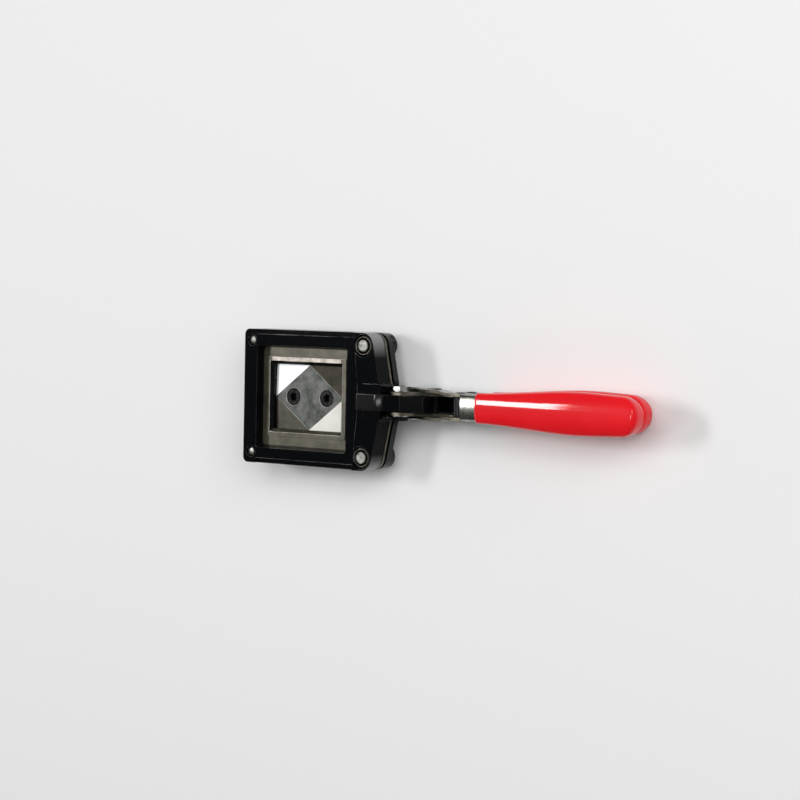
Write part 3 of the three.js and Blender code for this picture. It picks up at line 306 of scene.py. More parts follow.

# %% [markdown]
# ## Finishes for the punch
# The punch's flat diamond is blotched grey. Its four ground corners each catch the light their own way, and
# that light and shade is painted into four copies of the steel: white and cream for the two lit corners,
# dark and grey for the two shaded ones, and the grain of the lit pair runs across that of the shaded pair.
# Steel that shines evenly white in soft light is only half a metal to the shader, because a mirror would
# show the dark room.

# %% The punch's finishes
PUNCH_FLAT = metal(
    "punch, flat", (0.038, 0.041, 0.038), (0.11, 0.112, 0.106), (0.34, 0.46), EVEN, 1.5, blotch=0.16
)
PUNCH_PAINTED_LIT_WHITE = metal(
    "punch, painted lit corner, white", (0.9, 0.9, 0.9), (0.95, 0.95, 0.95), (0.47, 0.55), (7, 1, 1), 0.5, metallic=0.45
)
PUNCH_PAINTED_LIT_CREAM = metal(
    "punch, painted lit corner, cream", (0.78, 0.76, 0.7), (0.84, 0.82, 0.77), (0.5, 0.62), (7, 1, 1), 0.5, metallic=0.1
)
PUNCH_PAINTED_SHADE_DARK = metal(
    "punch, painted shaded corner, dark", (0.03, 0.027, 0.022), (0.052, 0.047, 0.038), (0.42, 0.6), (1, 7, 1), 0.5
)
PUNCH_PAINTED_SHADE_GREY = metal(
    "punch, painted shaded corner, grey", (0.08, 0.074, 0.062), (0.12, 0.112, 0.094), (0.42, 0.6), (1, 7, 1), 0.5
)
# Painted highlights on the punch's ridges and on the chamfers round its screws.
PUNCH_EDGE_HIGHLIGHT = metal(
    "punch, painted edge highlight", (0.35, 0.35, 0.33), (0.6, 0.6, 0.56), (0.3, 0.4), EVEN, 0.5, metallic=0.3
)
PUNCH_FINISHES = [PUNCH_FLAT, PUNCH_PAINTED_SHADE_GREY, PUNCH_PAINTED_LIT_WHITE, PUNCH_PAINTED_LIT_CREAM, PUNCH_PAINTED_SHADE_DARK, PUNCH_EDGE_HIGHLIGHT]
print("punch finishes:", len(PUNCH_FINISHES))

# %% [markdown]
# ## Plated, blackened and plain pieces
# The handles and the nut are nickel plated. The cheeks and the stripper plate get a darker, slightly yellow
# nickel, and the web and the outer sides a lighter one. Screws and pins are blackened, posts and rivets are
# plain steel.

# %% Finishes for handles, screws, posts and springs
BRIGHT_STEEL = metal(
    "bright steel", (0.12, 0.12, 0.108), (0.36, 0.36, 0.335), (0.34, 0.46), (1, 1, 6), 0.8, blotch=0.5
)
COLLAR_STEEL = metal(
    "collar steel", (0.04, 0.037, 0.03), (0.13, 0.12, 0.1), (0.28, 0.4), EVEN, 0.5, blotch=0.3
)
SPRING_STEEL = metal("spring steel", (0.38, 0.39, 0.4), (0.5, 0.5, 0.52), (0.24, 0.34))
BRONZE = metal("bearing bronze", (0.42, 0.25, 0.1), (0.52, 0.32, 0.14), (0.3, 0.42))
NICKEL = metal("nickel plate", (0.7, 0.71, 0.68), (0.84, 0.84, 0.82), (0.1, 0.2), (1, 5, 1), 0.5)
NUT_NICKEL = metal(
    "nickel plate, nut", (0.55, 0.56, 0.55), (0.8, 0.81, 0.8), (0.2, 0.3), EVEN, 0.5, metallic=0.75
)
DULL_NICKEL = metal(
    "nickel plate, dull", (0.085, 0.078, 0.058), (0.18, 0.167, 0.13), (0.28, 0.4), (1, 5, 1), 0.5, blotch=0.2
)
SIDE_NICKEL = metal(
    "nickel plate, sides", (0.24, 0.24, 0.225), (0.42, 0.42, 0.4), (0.26, 0.38), (1, 1, 4), 0.5, blotch=0.2
)
FLAT_WEB_NICKEL = metal(
    "nickel plate, web", (0.2, 0.2, 0.18), (0.42, 0.42, 0.39), (0.22, 0.3), (1, 3, 1), 1.2, 0.008, 0.3
)
WEB_NICKEL = domed(FLAT_WEB_NICKEL, 19)
BLACK_OXIDE = metal(
    "black oxide", (0.006, 0.006, 0.0065), (0.016, 0.016, 0.017), (0.2, 0.34), relief=0.01, metallic=0.7
)
SCREW_OXIDE = metal(
    "black oxide, worn", (0.002, 0.002, 0.0024), (0.02, 0.02, 0.021), (0.2, 0.34), blotch=0.7, metallic=0.8
)
print("finishes so far:", len(bpy.data.materials))

# %% [markdown]
# ## Dipped vinyl
# The grips are made by dipping the hot handle into liquid vinyl. The skin is a full red with a soft
# wet gloss, slightly wavy where it ran, so it gets a clear coat over a duller base and a long bump.

# %% Red vinyl for the grips
def red_vinyl():
    finish, nodes, links, shader = new_finish("dipped red vinyl")
    waves = noise(nodes, links, 0.06, stretch=(0.5, 1, 1), detail=2)
    fine = noise(nodes, links, 1.1, detail=4)
    colour = two_colours(nodes, links, waves, (0.75, 0.007, 0.013), (0.81, 0.01, 0.017))
    links.new(colour, shader.inputs["Base Color"])
    links.new(between(nodes, links, fine, 0.34, 0.44), shader.inputs["Roughness"])
    shader.inputs["Specular IOR Level"].default_value = 0.08
    shader.inputs["Coat Weight"].default_value = 0.8
    shader.inputs["Coat Roughness"].default_value = 0.05
    bump(nodes, links, shader, waves, 0.08, 0.15)
    return finish


VINYL = red_vinyl()
print("the grips' finish:", VINYL.name)

# %% [markdown]
# ## Castings from the frame
# The castings already have the right shape in the frame, but as loose triangles with knife edges. A
# copy is merged into one skin, the triangles that lie in one plane are dissolved into whole faces,
# and the bevel operator then rounds every edge that turns by more than a chosen angle.

# %% Copy a node of the frame and round its edges
MERGED = 0.003


def merged_copy(node):
    bm = bmesh.new()
    bm.from_mesh(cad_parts[node].data)
    bmesh.ops.transform(bm, matrix=FROM_FRAME, verts=bm.verts)
    bmesh.ops.remove_doubles(bm, verts=bm.verts, dist=MERGED)
    bmesh.ops.dissolve_limit(bm, angle_limit=math.radians(0.4), verts=bm.verts, edges=bm.edges)
    return bm


def bevel_edges(bm, edges, width, segments, clamp=True):
    rounded = bmesh.ops.bevel(
        bm,
        geom=edges,
        offset=width,
        offset_type="OFFSET",
        segments=segments,
        profile=0.5,
        affect="EDGES",
        clamp_overlap=clamp,
        material=-1,
    )
    return rounded["faces"]


def round_edges(bm, width, segments=3, turn=30, keep=None, clamp=True):
    """Rounds the edges that turn by more than some degrees and whose middles keep() accepts."""
    sharp = [e for e in bm.edges if e.is_manifold and e.calc_face_angle() > math.radians(turn)]
    if keep:
        sharp = [e for e in sharp if keep((e.verts[0].co + e.verts[1].co) / 2)]
    return bevel_edges(bm, sharp, width, segments, clamp)


# %% [markdown]
# ## The bend in the arm
# The arm's top is level at first and slopes down behind its bend. The frame has a narrow strip for
# the bend. The strip's points are drawn together to one edge, which a wide bevel rounds softly.

# %% Round the bend in the arm's top
BEND_X = 54
BEND_Z = 29.4
BEND_WIDTH = 2.6
ARM_TOP = 29.1


def round_bend(bm):
    for vert in bm.verts:
        if BEND_X - 1 < vert.co.x < BEND_X + 1 and abs(vert.co.y) < 4.5 and vert.co.z > ARM_TOP:
            vert.co.x = BEND_X
            vert.co.z = BEND_Z
    bmesh.ops.remove_doubles(bm, verts=bm.verts, dist=MERGED)
    bend = [e for e in bm.edges if all(abs(v.co.x - BEND_X) < 0.01 and v.co.z > ARM_TOP for v in e.verts)]
    print("bends in the arm's top:", len(bend))
    bevel_edges(bm, bend, BEND_WIDTH, 6)


# %% [markdown]
# ## Cheeks that pass each other
# Behind the centre rivet the cheeks of both handles bend into one line, and squeezing brings their
# edges together in the corner between them. Room for that is left in the shape: the corner's points
# are drawn back, upwards in the upper handle and downwards in the lower one.

# %% Draw the cheeks' edges back behind the crossing
PIVOT_Z = 15.2
CORNER_START = 86.5
CORNER_END = 89.2
DRAWN_BACK = 0.3


def part_cheeks(bm, up):
    corner_points = [
        v for v in bm.verts if CORNER_START < v.co.x < CORNER_END and abs(v.co.z - PIVOT_Z) < 0.9
    ]
    for vert in corner_points:
        vert.co.z += up * DRAWN_BACK
    print("points drawn back behind the crossing:", len(corner_points))


# %% [markdown]
# ## The rim round the die
# A low bead runs round the die's opening. A highlight is painted along the bead's rear side and on its
# rounded edges, and painted shade darkens three of the opening's four walls. A face has one finish, so the
# bisect operator first cuts the bead where the painted highlight ends.

# %% Round the bead and give its faces their finishes
DIE_FINISHES = [DIE_STEEL, DIE_EDGE_HIGHLIGHT, RIM_PAINTED_HIGHLIGHT, BLACK_OXIDE]
BEAD_WIDTH = 0.52
HIGHLIGHT_BAND_HALF = 23
HIGHLIGHT_BAND_CUTS = [((0, 17.6, 0), (0, 1, 0)), ((-HIGHLIGHT_BAND_HALF, 0, 0), (1, 0, 0)), ((HIGHLIGHT_BAND_HALF, 0, 0), (1, 0, 0))]


def round_rim(bm):
    top = max(v.co.z for v in bm.verts)
    # Painted highlight: the bead's rounded edges take the bright edge steel.
    bead = round_edges(bm, BEAD_WIDTH, 5, 40, keep=lambda middle: middle.z > top - 0.05)
    for face in bead:
        face.material_index = DIE_FINISHES.index(DIE_EDGE_HIGHLIGHT)
    for point, normal in HIGHLIGHT_BAND_CUTS:
        whole = bm.verts[:] + bm.edges[:] + bm.faces[:]
        bmesh.ops.bisect_plane(bm, geom=whole, plane_co=point, plane_no=normal)
    bm.normal_update()
    # worn holds the painted rim highlight, and dark the painted shade of the opening's walls.
    worn = DIE_FINISHES.index(RIM_PAINTED_HIGHLIGHT)
    dark = DIE_FINISHES.index(BLACK_OXIDE)
    for face in bm.faces:
        middle = face.calc_center_median()
        if middle.z > top - 0.2 and middle.y > 17.5 and abs(middle.x) < HIGHLIGHT_BAND_HALF:
            face.material_index = worn
        # Painted shade: the opening's walls, all but one, take the dark oxide finish.
        in_opening = abs(middle.x) < 23.9 and -17.2 < middle.y < 18.9
        if in_opening and middle.z < top - 0.3 and face.normal.z < 0.8:
            face.material_index = dark
    used = [face.material_index for face in bm.faces]
    print("faces of the bead:", len(bead), "painted highlight:", used.count(worn), "inside:", used.count(dark))


# %% [markdown]
# ## Which face gets which finish
# A casting gets more than one finish: a duller, slightly lighter enamel on top of the arm, partly wear and
# partly a painted sheen; glossier enamel at the corners; painted highlights along the edges. A small
# function looks at a face's place and at the way it faces, and names its finish.

# %% Finishes by place
ARM_START = 39.5
ARM_END = 57
ARM_HALF = 4.3
TAIL_START = 62
WEB_START = 101.5


def on_arm(place, normal):
    """The level top of the arm, up to and with its bend."""
    above = place.z > 28.4 and normal.z > 0.9
    return above and ARM_START < place.x < ARM_END and abs(place.y) < ARM_HALF


def casting_finish(place, normal):
    if on_arm(place, normal):
        return WORN_SHEEN_ENAMEL if normal.z > 0.9995 else BEND_ENAMEL
    if place.x > TAIL_START and abs(place.y) < ARM_HALF and normal.z > 0.2:
        return TAIL_ENAMEL
    wall = normal.x > 0.3 and abs(normal.z) < 0.3 and place.x > 40 and abs(place.y) > 8
    return WALL_ENAMEL if wall else ENAMEL


def painted_edge_highlights(place, normal):
    """Painted highlights: a grey metal finish on the upper edges, and a paler one on the front ledge."""
    if not 0.2 < normal.z < 0.97 or place.z < 17.5 or normal.x > 0.25:
        return ENAMEL
    if place.x > 40 and abs(place.y) < 12:
        return ENAMEL
    ledge = -34.5 < place.y < -32 and normal.y < -0.2
    return PAINTED_LEDGE_HIGHLIGHT if ledge else PAINTED_EDGE_HIGHLIGHT


def handle_finish(place, normal):
    """The outer sides are grey, and what lies in front of the web is dull."""
    if abs(normal.y) > 0.8 and normal.y * place.y > 0:
        return SIDE_NICKEL
    return DULL_NICKEL if place.x < WEB_START else WEB_NICKEL


# %% [markdown]
# ## Dressing what was cast or stamped
# One function does the same for every such piece: copy, round, finish. The edges across the arm
# behind its bend stay as they are, because that slope was ground smooth.

# %% Castings, plates and handles
def off_the_slope(middle):
    return not (abs(middle.y) < 4 and middle.x > ARM_END and middle.z > 17)


def rounded_node(node, finishes, body, width, segments=3, keep=None, by_place=None, on_edges=None):
    bm = merged_copy(node)
    if node == "upper_casting":
        round_bend(bm)
    if node == "die_plate":
        round_rim(bm)
    if node in ("upper_handle", "lower_handle"):
        part_cheeks(bm, 1 if node == "upper_handle" else -1)
    rounded = round_edges(bm, width, segments, keep=keep)
    bm.normal_update()
    if by_place:
        for face in bm.faces:
            face.material_index = finishes.index(by_place(face.calc_center_median(), face.normal))
    if on_edges:
        for face in rounded:
            if face.is_valid:
                face.material_index = finishes.index(on_edges(face.calc_center_median(), face.normal))
    print(node, "faces:", len(bm.faces), "of them rounded edges:", len(rounded))
    finish_piece(node, bm, finishes, body, crease=24)


# On the upper casting the rounded edges take painted highlights, and the arm's top a partly painted sheen.
rounded_node(
    "upper_casting",
    [ENAMEL, WORN_SHEEN_ENAMEL, PAINTED_EDGE_HIGHLIGHT, PAINTED_LEDGE_HIGHLIGHT, TAIL_ENAMEL, WALL_ENAMEL, BEND_ENAMEL],
    "upper_frame",
    0.45,
    keep=off_the_slope,
    by_place=casting_finish,
    on_edges=painted_edge_highlights,
)
rounded_node("lower_casting", [ENAMEL], "lower_frame", 0.4)
rounded_node("stripper_plate", [DULL_NICKEL], "upper_frame", 0.2, 2)
rounded_node("photo_stop", [BRIGHT_STEEL], "upper_frame", 0.1, 1)
rounded_node("die_plate", DIE_FINISHES, "upper_frame", 0.2, 2)
HANDLE_FINISHES = [WEB_NICKEL, DULL_NICKEL, SIDE_NICKEL]
for handle in ("upper_handle", "lower_handle"):
    rounded_node(handle, HANDLE_FINISHES, handle, 0.25, 2, by_place=handle_finish)

# %% [markdown]
# ## The punch
# The punch's top is a flat diamond whose four corners were ground away a little, so that it starts to cut in
# the middle of each side. Two corners are painted light, white and cream, and two are painted in shade, dark
# and grey, for the way each catches the light. Each corner has its own finish.

# %% The punch with its four ground corners
SCREW_X = 11.1
EDGE_HIGHLIGHT_INDEX = PUNCH_FINISHES.index(PUNCH_EDGE_HIGHLIGHT)
# Painted light and shade, corner by corner.
CORNER_FINISHES = {
    ("front", "right"): PUNCH_PAINTED_SHADE_GREY,
    ("front", "left"): PUNCH_PAINTED_LIT_WHITE,
    ("rear", "right"): PUNCH_PAINTED_LIT_CREAM,
    ("rear", "left"): PUNCH_PAINTED_SHADE_DARK,
}


def round_the_screws(middle):
    return middle.z > 16.5 and Vector((abs(middle.x) - SCREW_X, middle.y)).length < 4.7


def is_ridge(edge):
    """A shallow edge between two faces that both look up."""
    if not edge.is_manifold or min(f.normal.z for f in edge.link_faces) <= 0.98:
        return False
    return math.radians(0.3) < edge.calc_face_angle() < math.radians(8)


punch = merged_copy("punch")
punch.normal_update()
ridges = [e for e in punch.edges if is_ridge(e)]
# The ridges and the chamfers round the screws take the painted edge highlight.
for face in bevel_edges(punch, ridges, 0.09, 1):
    face.material_index = EDGE_HIGHLIGHT_INDEX
hole_edges = round_edges(punch, 0.36, 1, turn=45, keep=round_the_screws, clamp=False)
for face in hole_edges:
    face.material_index = EDGE_HIGHLIGHT_INDEX
round_edges(punch, 0.07, 1, turn=45)
punch.normal_update()
ground = [f for f in punch.faces if 0.98 < f.normal.z < 0.99999 and f.calc_area() > 20]
ground = [f for f in ground if f.material_index != EDGE_HIGHLIGHT_INDEX]
# Painted light and shade: each ground corner takes its lit or shaded copy of the steel.
for face in ground:
    middle = face.calc_center_median()
    where = ("rear" if middle.x > 0 else "front", "left" if middle.y > 0 else "right")
    face.material_index = PUNCH_FINISHES.index(CORNER_FINISHES[where])
print("ridges:", len(ridges), "faces round the screws:", len(hole_edges), "ground corners:", len(ground))
finish_piece("punch", punch, PUNCH_FINISHES, "lower_frame", crease=1)


# %% [markdown]
# ## Turned pieces
# Posts, collars, washers, rivets and screws come off a lathe, and Blender's spin operator is a
# lathe: half of the outline is drawn as a row of points and turned about an axis. A cross pin is
# turned upright in the same way and then laid on its side.

# %% A lathe, and a way to lay what it makes across the tool
LYING = Matrix.Rotation(math.radians(-90), 4, "X")
LATHE_STEPS = 64


def turned(outline, closed=False):
    bm = bmesh.new()
    row = [bm.verts.new((radius, 0, height)) for radius, height in outline]
    pairs = list(zip(row, row[1:]))
    if closed:
        pairs.append((row[-1], row[0]))
    edges = [bm.edges.new(pair) for pair in pairs]
    bmesh.ops.spin(
        bm,
        geom=row + edges,
        cent=(0, 0, 0),
        axis=UP,
        dvec=(0, 0, 0),
        angle=math.tau,
        steps=LATHE_STEPS,
        use_merge=True,
        use_normal_flip=False,
        use_duplicate=False,
    )
    bmesh.ops.remove_doubles(bm, verts=bm.verts, dist=0.001)
    bmesh.ops.dissolve_degenerate(bm, edges=bm.edges, dist=0.001)
    return bm


def put(bm, x, y, z, lying=False):
    place = Matrix.Translation((x, y, z))
    if lying:
        place = place @ LYING
    bmesh.ops.transform(bm, matrix=place, verts=bm.verts)
    return bm


def corner(radius, height, size, towards, steps=3):
    """Points of a rounded corner at (radius, height): towards gives the signs of the two sides."""
    side_r, side_h = towards
    centre = (radius + side_r * size, height + side_h * size)
    points = []
    for step in range(steps + 1):
        angle = step / steps * math.pi / 2
        points.append(
            (centre[0] - side_r * size * math.cos(angle), centre[1] - side_h * size * math.sin(angle))
        )
    return points


def ring_outline(bore, radius, low, high, edge=0.15):
    return (
        corner(bore, low, edge, (1, 1))
        + corner(radius, low, edge, (-1, 1))[::-1]
        + corner(radius, high, edge, (-1, -1))
        + corner(bore, high, edge, (1, -1))[::-1]
    )


def size_of(node):
    """The node's box in the working units."""
    low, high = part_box(node)
    return FROM_FRAME @ low, FROM_FRAME @ high


# %% [markdown]
# ## Guide posts and their collars
# Each post ends just below the top of the casting, in a ring that is pressed round it. From above
# that is a bright disc, a dark groove, a light ring and then the black counterbore.

# %% Posts, collars and bushings
SIDES = {"left": 1, "right": -1}
POST_X = 42.0
POST_Y = 29.2
POST_RADIUS = 3.1
FLANGE_RADIUS = 4.6
COLLAR_BORE = 3.4
COLLAR_RADIUS = 5.0

for side, sign in SIDES.items():
    low, high = size_of("guide_post_" + side)
    post = turned(
        [(0, low.z)]
        + corner(FLANGE_RADIUS, low.z, 0.3, (-1, 1))[::-1]
        + [(FLANGE_RADIUS, low.z + 1.6), (POST_RADIUS, low.z + 1.6), (POST_RADIUS, high.z - 0.5)]
        + corner(POST_RADIUS, high.z, 0.15, (-1, -1))
        + [(2.85, high.z), (2.75, high.z - 0.25), (2.6, high.z - 0.25), (2.5, high.z), (0, high.z)]
    )
    put(post, POST_X, sign * POST_Y, 0)
    finish_piece("guide_post_" + side, post, [BRIGHT_STEEL], "upper_frame")
    print(side, "post from", round(low.z, 2), "to", round(high.z, 2), "mm")
    low, high = size_of("post_collar_" + side)
    collar = turned(
        [(COLLAR_BORE, low.z), (COLLAR_RADIUS, low.z)]
        + corner(COLLAR_RADIUS, high.z, 0.3, (-1, -1))
        + corner(4.3, high.z, 0.15, (1, -1))[::-1]
        + [(3.8, high.z - 1.2), (COLLAR_BORE, high.z - 1.6)],
        closed=True,
    )
    put(collar, POST_X, sign * POST_Y, 0)
    finish_piece("post_collar_" + side, collar, [COLLAR_STEEL], "upper_frame")
    low, high = size_of("guide_bushing_" + side)
    bushing = turned(ring_outline(COLLAR_BORE, FLANGE_RADIUS, low.z, high.z), closed=True)
    put(bushing, POST_X, sign * POST_Y, 0)
    finish_piece("guide_bushing_" + side, bushing, [BRONZE], "lower_frame")

# %% [markdown]
# ## Return springs
# A circle of wire, spun about the post while it also rises, leaves a coil behind it: the spin operator takes
# that rise as its shift per step. On the real tool the coil shortens as the castings close; here it is made
# at one length.

# %% The two springs round the posts
SPRING_RADIUS = 4.4
SPRING_WIRE = 0.9
SPRING_TURNS = 4
SPRING_STEPS = 36

for side, sign in SIDES.items():
    low, high = size_of("return_spring_" + side)
    rise = high.z - low.z - SPRING_WIRE
    spring = bmesh.new()
    upright = Matrix.Rotation(math.radians(90), 4, "X")
    first = Matrix.Translation((SPRING_RADIUS, 0, low.z + SPRING_WIRE / 2)) @ upright
    bmesh.ops.create_circle(
        spring, cap_ends=True, cap_tris=False, segments=10, radius=SPRING_WIRE / 2, matrix=first
    )
    steps = SPRING_TURNS * SPRING_STEPS
    bmesh.ops.spin(
        spring,
        geom=spring.verts[:] + spring.edges[:] + spring.faces[:],
        cent=(0, 0, 0),
        axis=UP,
        dvec=(0, 0, rise / steps),
        angle=math.tau * SPRING_TURNS,
        steps=steps,
        use_merge=False,
        use_normal_flip=False,
        use_duplicate=False,
    )
    put(spring, POST_X, sign * POST_Y, 0)
    piece = finish_piece("return_spring_" + side, spring, [SPRING_STEEL], "lower_frame")
    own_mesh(piece)
    print(side, "spring:", SPRING_TURNS, "turns over", round(rise, 2), "mm")


# %% [markdown]
# ## Nuts and bolts across the arm
# A nut is a six-sided prism whose corners were turned away on both faces. The cone that does this is
# turned first, and a Boolean keeps what prism and cone have in common.

# %% Boolean between two bmeshes
def combined(bm, tool, operation):
    objects = []
    for name, shape in (("base", bm), ("tool", tool)):
        mesh = bpy.data.meshes.new(name)
        shape.to_mesh(mesh)
        shape.free()
        objects.append(bpy.data.objects.new(name, mesh))
        bpy.context.scene.collection.objects.link(objects[-1])
    base, other = objects
    cut = base.modifiers.new("cut", "BOOLEAN")
    cut.operation = operation
    cut.object = other
    cut.solver = "EXACT"
    bpy.context.view_layer.update()
    done = base.evaluated_get(bpy.context.evaluated_depsgraph_get())
    result = bmesh.new()
    result.from_mesh(done.to_mesh())
    done.to_mesh_clear()
    for thing in objects:
        mesh = thing.data
        bpy.data.objects.remove(thing)
        bpy.data.meshes.remove(mesh)
    return result


def hexagon(across_flats, low, high, turn=0.0):
    bm = bmesh.new()
    bmesh.ops.create_cone(
        bm,
        cap_ends=True,
        cap_tris=False,
        segments=6,
        radius1=across_flats / math.sqrt(3),
        radius2=across_flats / math.sqrt(3),
        depth=high - low,
        matrix=Matrix.Translation((0, 0, (low + high) / 2)) @ Matrix.Rotation(turn, 4, "Z"),
    )
    return bm


def hex_head(across_flats, low, high, turn=0.0):
    flat = across_flats / 2
    point = across_flats / math.sqrt(3)
    drop = (point - flat) * 0.6
    past = point + 0.05
    blank = turned(
        [(0, low), (flat, low), (past, low + drop), (past, high - drop), (flat, high), (0, high)]
    )
    return combined(hexagon(across_flats, low, high, turn), blank, "INTERSECT")


# %% [markdown]
# ## The front pivots
# A bolt crosses the arm's tail and the lower handle's eyes, with its head on one side and a nut on
# the other. A Boolean joins its head and its shank, and another one bores the nut. Plain rings fill
# the gaps on this pin and on the lower one.

# %% The upper bolt and its nut
PIN_RADIUS = 2.5
BORE_RADIUS = 2.56
BORE_LENGTH = 99
BOLT_FLATS = 7.0
HEAD_OVERLAP = 1

low, high = size_of("upper_pivot_nut")
seat = low.y
end = high.y
pin_x = (low.x + high.x) / 2
pin_z = (low.z + high.z) / 2
reach = size_of("upper_pivot_bolt")[1].y
start = HEAD_OVERLAP - end
head = hex_head(BOLT_FLATS, -end, -seat)
shank = turned(
    [(0, start), (PIN_RADIUS, start), (PIN_RADIUS, reach - 0.3), (PIN_RADIUS - 0.3, reach), (0, reach)]
)
bolt = put(combined(head, shank, "UNION"), pin_x, 0, pin_z, lying=True)
finish_piece("upper_pivot_bolt", bolt, [BLACK_OXIDE], "upper_frame")
bore = turned([(0, 0), (BORE_RADIUS, 0), (BORE_RADIUS, BORE_LENGTH), (0, BORE_LENGTH)])
nut = combined(hex_head(BOLT_FLATS, seat, end, math.radians(30)), bore, "DIFFERENCE")
put(nut, pin_x, 0, pin_z, lying=True)
finish_piece("upper_pivot_nut", nut, [NUT_NICKEL], "upper_frame")
print("upper pivot at x", round(pin_x, 2), "and z", round(pin_z, 2), "mm")

# %% Rings on both front pins
RING_BORE = PIN_RADIUS + 0.3
RING_RADIUS = 4.4


def ring_on_pin(node, bore, radius, finish, body):
    low, high = size_of(node)
    middle = (low + high) / 2
    ring = turned(ring_outline(bore, radius, low.y, high.y), closed=True)
    put(ring, middle.x, 0, middle.z, lying=True)
    finish_piece(node, ring, [finish], body)


for side in SIDES:
    washer = "upper_pivot_washer_" + side
    ring_on_pin(washer, RING_BORE, RING_RADIUS, NICKEL, "upper_frame")
    spacer = "lower_pivot_spacer_" + side
    ring_on_pin(spacer, RING_BORE, RING_RADIUS, BRIGHT_STEEL, "lower_frame")
    print("rings on the", side, "side:", washer, spacer)


# %% [markdown]
# ## Rivets
# A rivet's head is a low dome. Its outline is a plain shank with an arc at each end.

# %% The pivots' rivets and the two stop rivets
DOME_STEPS = 6


def rivet(node, radius, head_height, head_finish, body):
    low, high = size_of(node)
    middle = (low + high) / 2
    reach = high.y - head_height
    head_radius = (high.z - low.z) / 2
    dome = []
    for step in range(DOME_STEPS + 1):
        angle = step / DOME_STEPS * math.pi / 2
        dome.append((head_radius * math.cos(angle), head_height * (0.35 + 0.65 * math.sin(angle))))
    upper = [(radius, reach), (head_radius, reach)] + [(r, reach + h) for r, h in dome]
    lower = [(r, -h) for r, h in upper[::-1]]
    bm = turned(lower + upper)
    for face in bm.faces:
        face.material_index = 1 if abs(face.calc_center_median().z) < reach - 0.5 else 0
    put(bm, middle.x, 0, middle.z, lying=True)
    finish_piece(node, bm, [head_finish, BLACK_OXIDE], body)
    print(node, "is", round(2 * high.y, 2), "mm long")


rivet("centre_rivet", PIN_RADIUS, 0.8, BRIGHT_STEEL, "upper_handle")
rivet("lower_pivot_rivet", PIN_RADIUS, 0.8, NICKEL, "lower_frame")
for handle in ("upper", "lower"):
    rivet(handle + "_stop_rivet", 1.5, 0.4, BLACK_OXIDE, handle + "_handle")
    spacer = handle + "_stop_spacer"
    ring_on_pin(spacer, 1.8, 4.0, BLACK_OXIDE, handle + "_handle")

# %% [markdown]
# ## Screws
# The punch is held by two socket head screws. Their heads are turned with a small chamfer, and the six-sided
# socket is cut with a Boolean. The screws at the casting's left corners are small, with a bright middle that
# lies a little deeper than their rim, and the rim is painted dark as the shade round that middle.

# %% Screws in the punch
HEAD_RADIUS = 4.25
HEAD_HEIGHT = 4.6
SOCKET_FLATS = 4.1

for name, x in (("front", -SCREW_X), ("rear", SCREW_X)):
    low, high = size_of("punch_screw_" + name)
    seat = high.z - HEAD_HEIGHT
    head = turned(
        [(0, low.z), (2.5, low.z), (2.5, seat), (HEAD_RADIUS, seat), (HEAD_RADIUS, high.z - 0.4)]
        + [(3.85, high.z), (2.75, high.z), (2.45, high.z - 0.3), (0, high.z - 0.3)]
    )
    socket = hexagon(SOCKET_FLATS, high.z - 2.8, high.z + 1, math.radians(12))
    screw = put(combined(head, socket, "DIFFERENCE"), x, 0, 0)
    finish_piece("punch_screw_" + name, screw, [SCREW_OXIDE], "lower_frame")
    print(name, "screw's head ends at", round(high.z, 2), "mm")

# %% Screws at the left corners
CORNER_X = -32.2
CORNER_Y = 30.0

for side, sign in SIDES.items():
    low, high = size_of("corner_screw_" + side)
    screw = turned(
        [(0, low.z), (1.5, low.z), (1.5, high.z - 2.2), (2.5, high.z - 2.2), (2.5, high.z - 0.3)]
        + [(2.2, high.z), (1.9, high.z), (1.75, high.z - 0.4), (1.0, high.z - 0.2), (0, high.z - 0.15)]
    )
    # Painted shade: the rim round the middle takes the dark oxide finish.
    for face in screw.faces:
        middle = face.calc_center_median()
        face.material_index = 1 if middle.xy.length > 1.6 and middle.z > high.z - 1 else 0
    put(screw, CORNER_X, sign * CORNER_Y, 0)
    finishes = [BRIGHT_STEEL, SCREW_OXIDE]
    finish_piece("corner_screw_" + side, screw, finishes, "upper_frame")
    print(side, "corner screw's rim is at", round(high.z, 2), "mm")

# %% [markdown]
# ## Dipped grips
# A grip starts as one ring of points round the handle's root. The ring is extruded along the handle
# again and again, and each new ring is given its own width, thickness and squareness: slim and flat
# at the root, fullest past the middle, and round at the tip.

# %% The grips' measures along their length
GRIP_START = 111.5
GRIP_TIPS = {"upper": 206.0, "lower": 199.5}
OFFSET_START = 7.0
OFFSET_TIP = 10.2
RING_POINTS = 72
RINGS = 60


def grip_offset(x):
    return OFFSET_START + (OFFSET_TIP - OFFSET_START) * (x - GRIP_START) / (GRIP_TIPS["upper"] - GRIP_START)


def smooth(share):
    share = min(1.0, max(0.0, share))
    return share * share * (3 - 2 * share)


# %% [markdown]
# ## One ring of a grip
# A ring starts as a circle. A power of its sine and cosine makes it squarer, the outer side is
# cambered, and towards the tip its width and thickness follow quarter circles down, which closes
# the grip softly. At the root a short cuff is rounded in the same way.

# %% The shape of a grip's ring
ROOT_HALF = 7.8
WIDEST_HALF = 10.8
END_HALF = 9.8
OUTER_THICKNESS = 5.3
INNER_THICKNESS = 4.7
ROOT_SQUARENESS = 0.4
TIP_SQUARENESS = 0.55
CAMBER_RADIUS = 31.0
END_ROUNDING = 10.0
END_EDGE = 3.0
CUFF = 1.4


def grip_half_width(share):
    if share < 0.62:
        return ROOT_HALF + (WIDEST_HALF - ROOT_HALF) * smooth(share / 0.62)
    return WIDEST_HALF + (END_HALF - WIDEST_HALF) * smooth((share - 0.62) / 0.38)


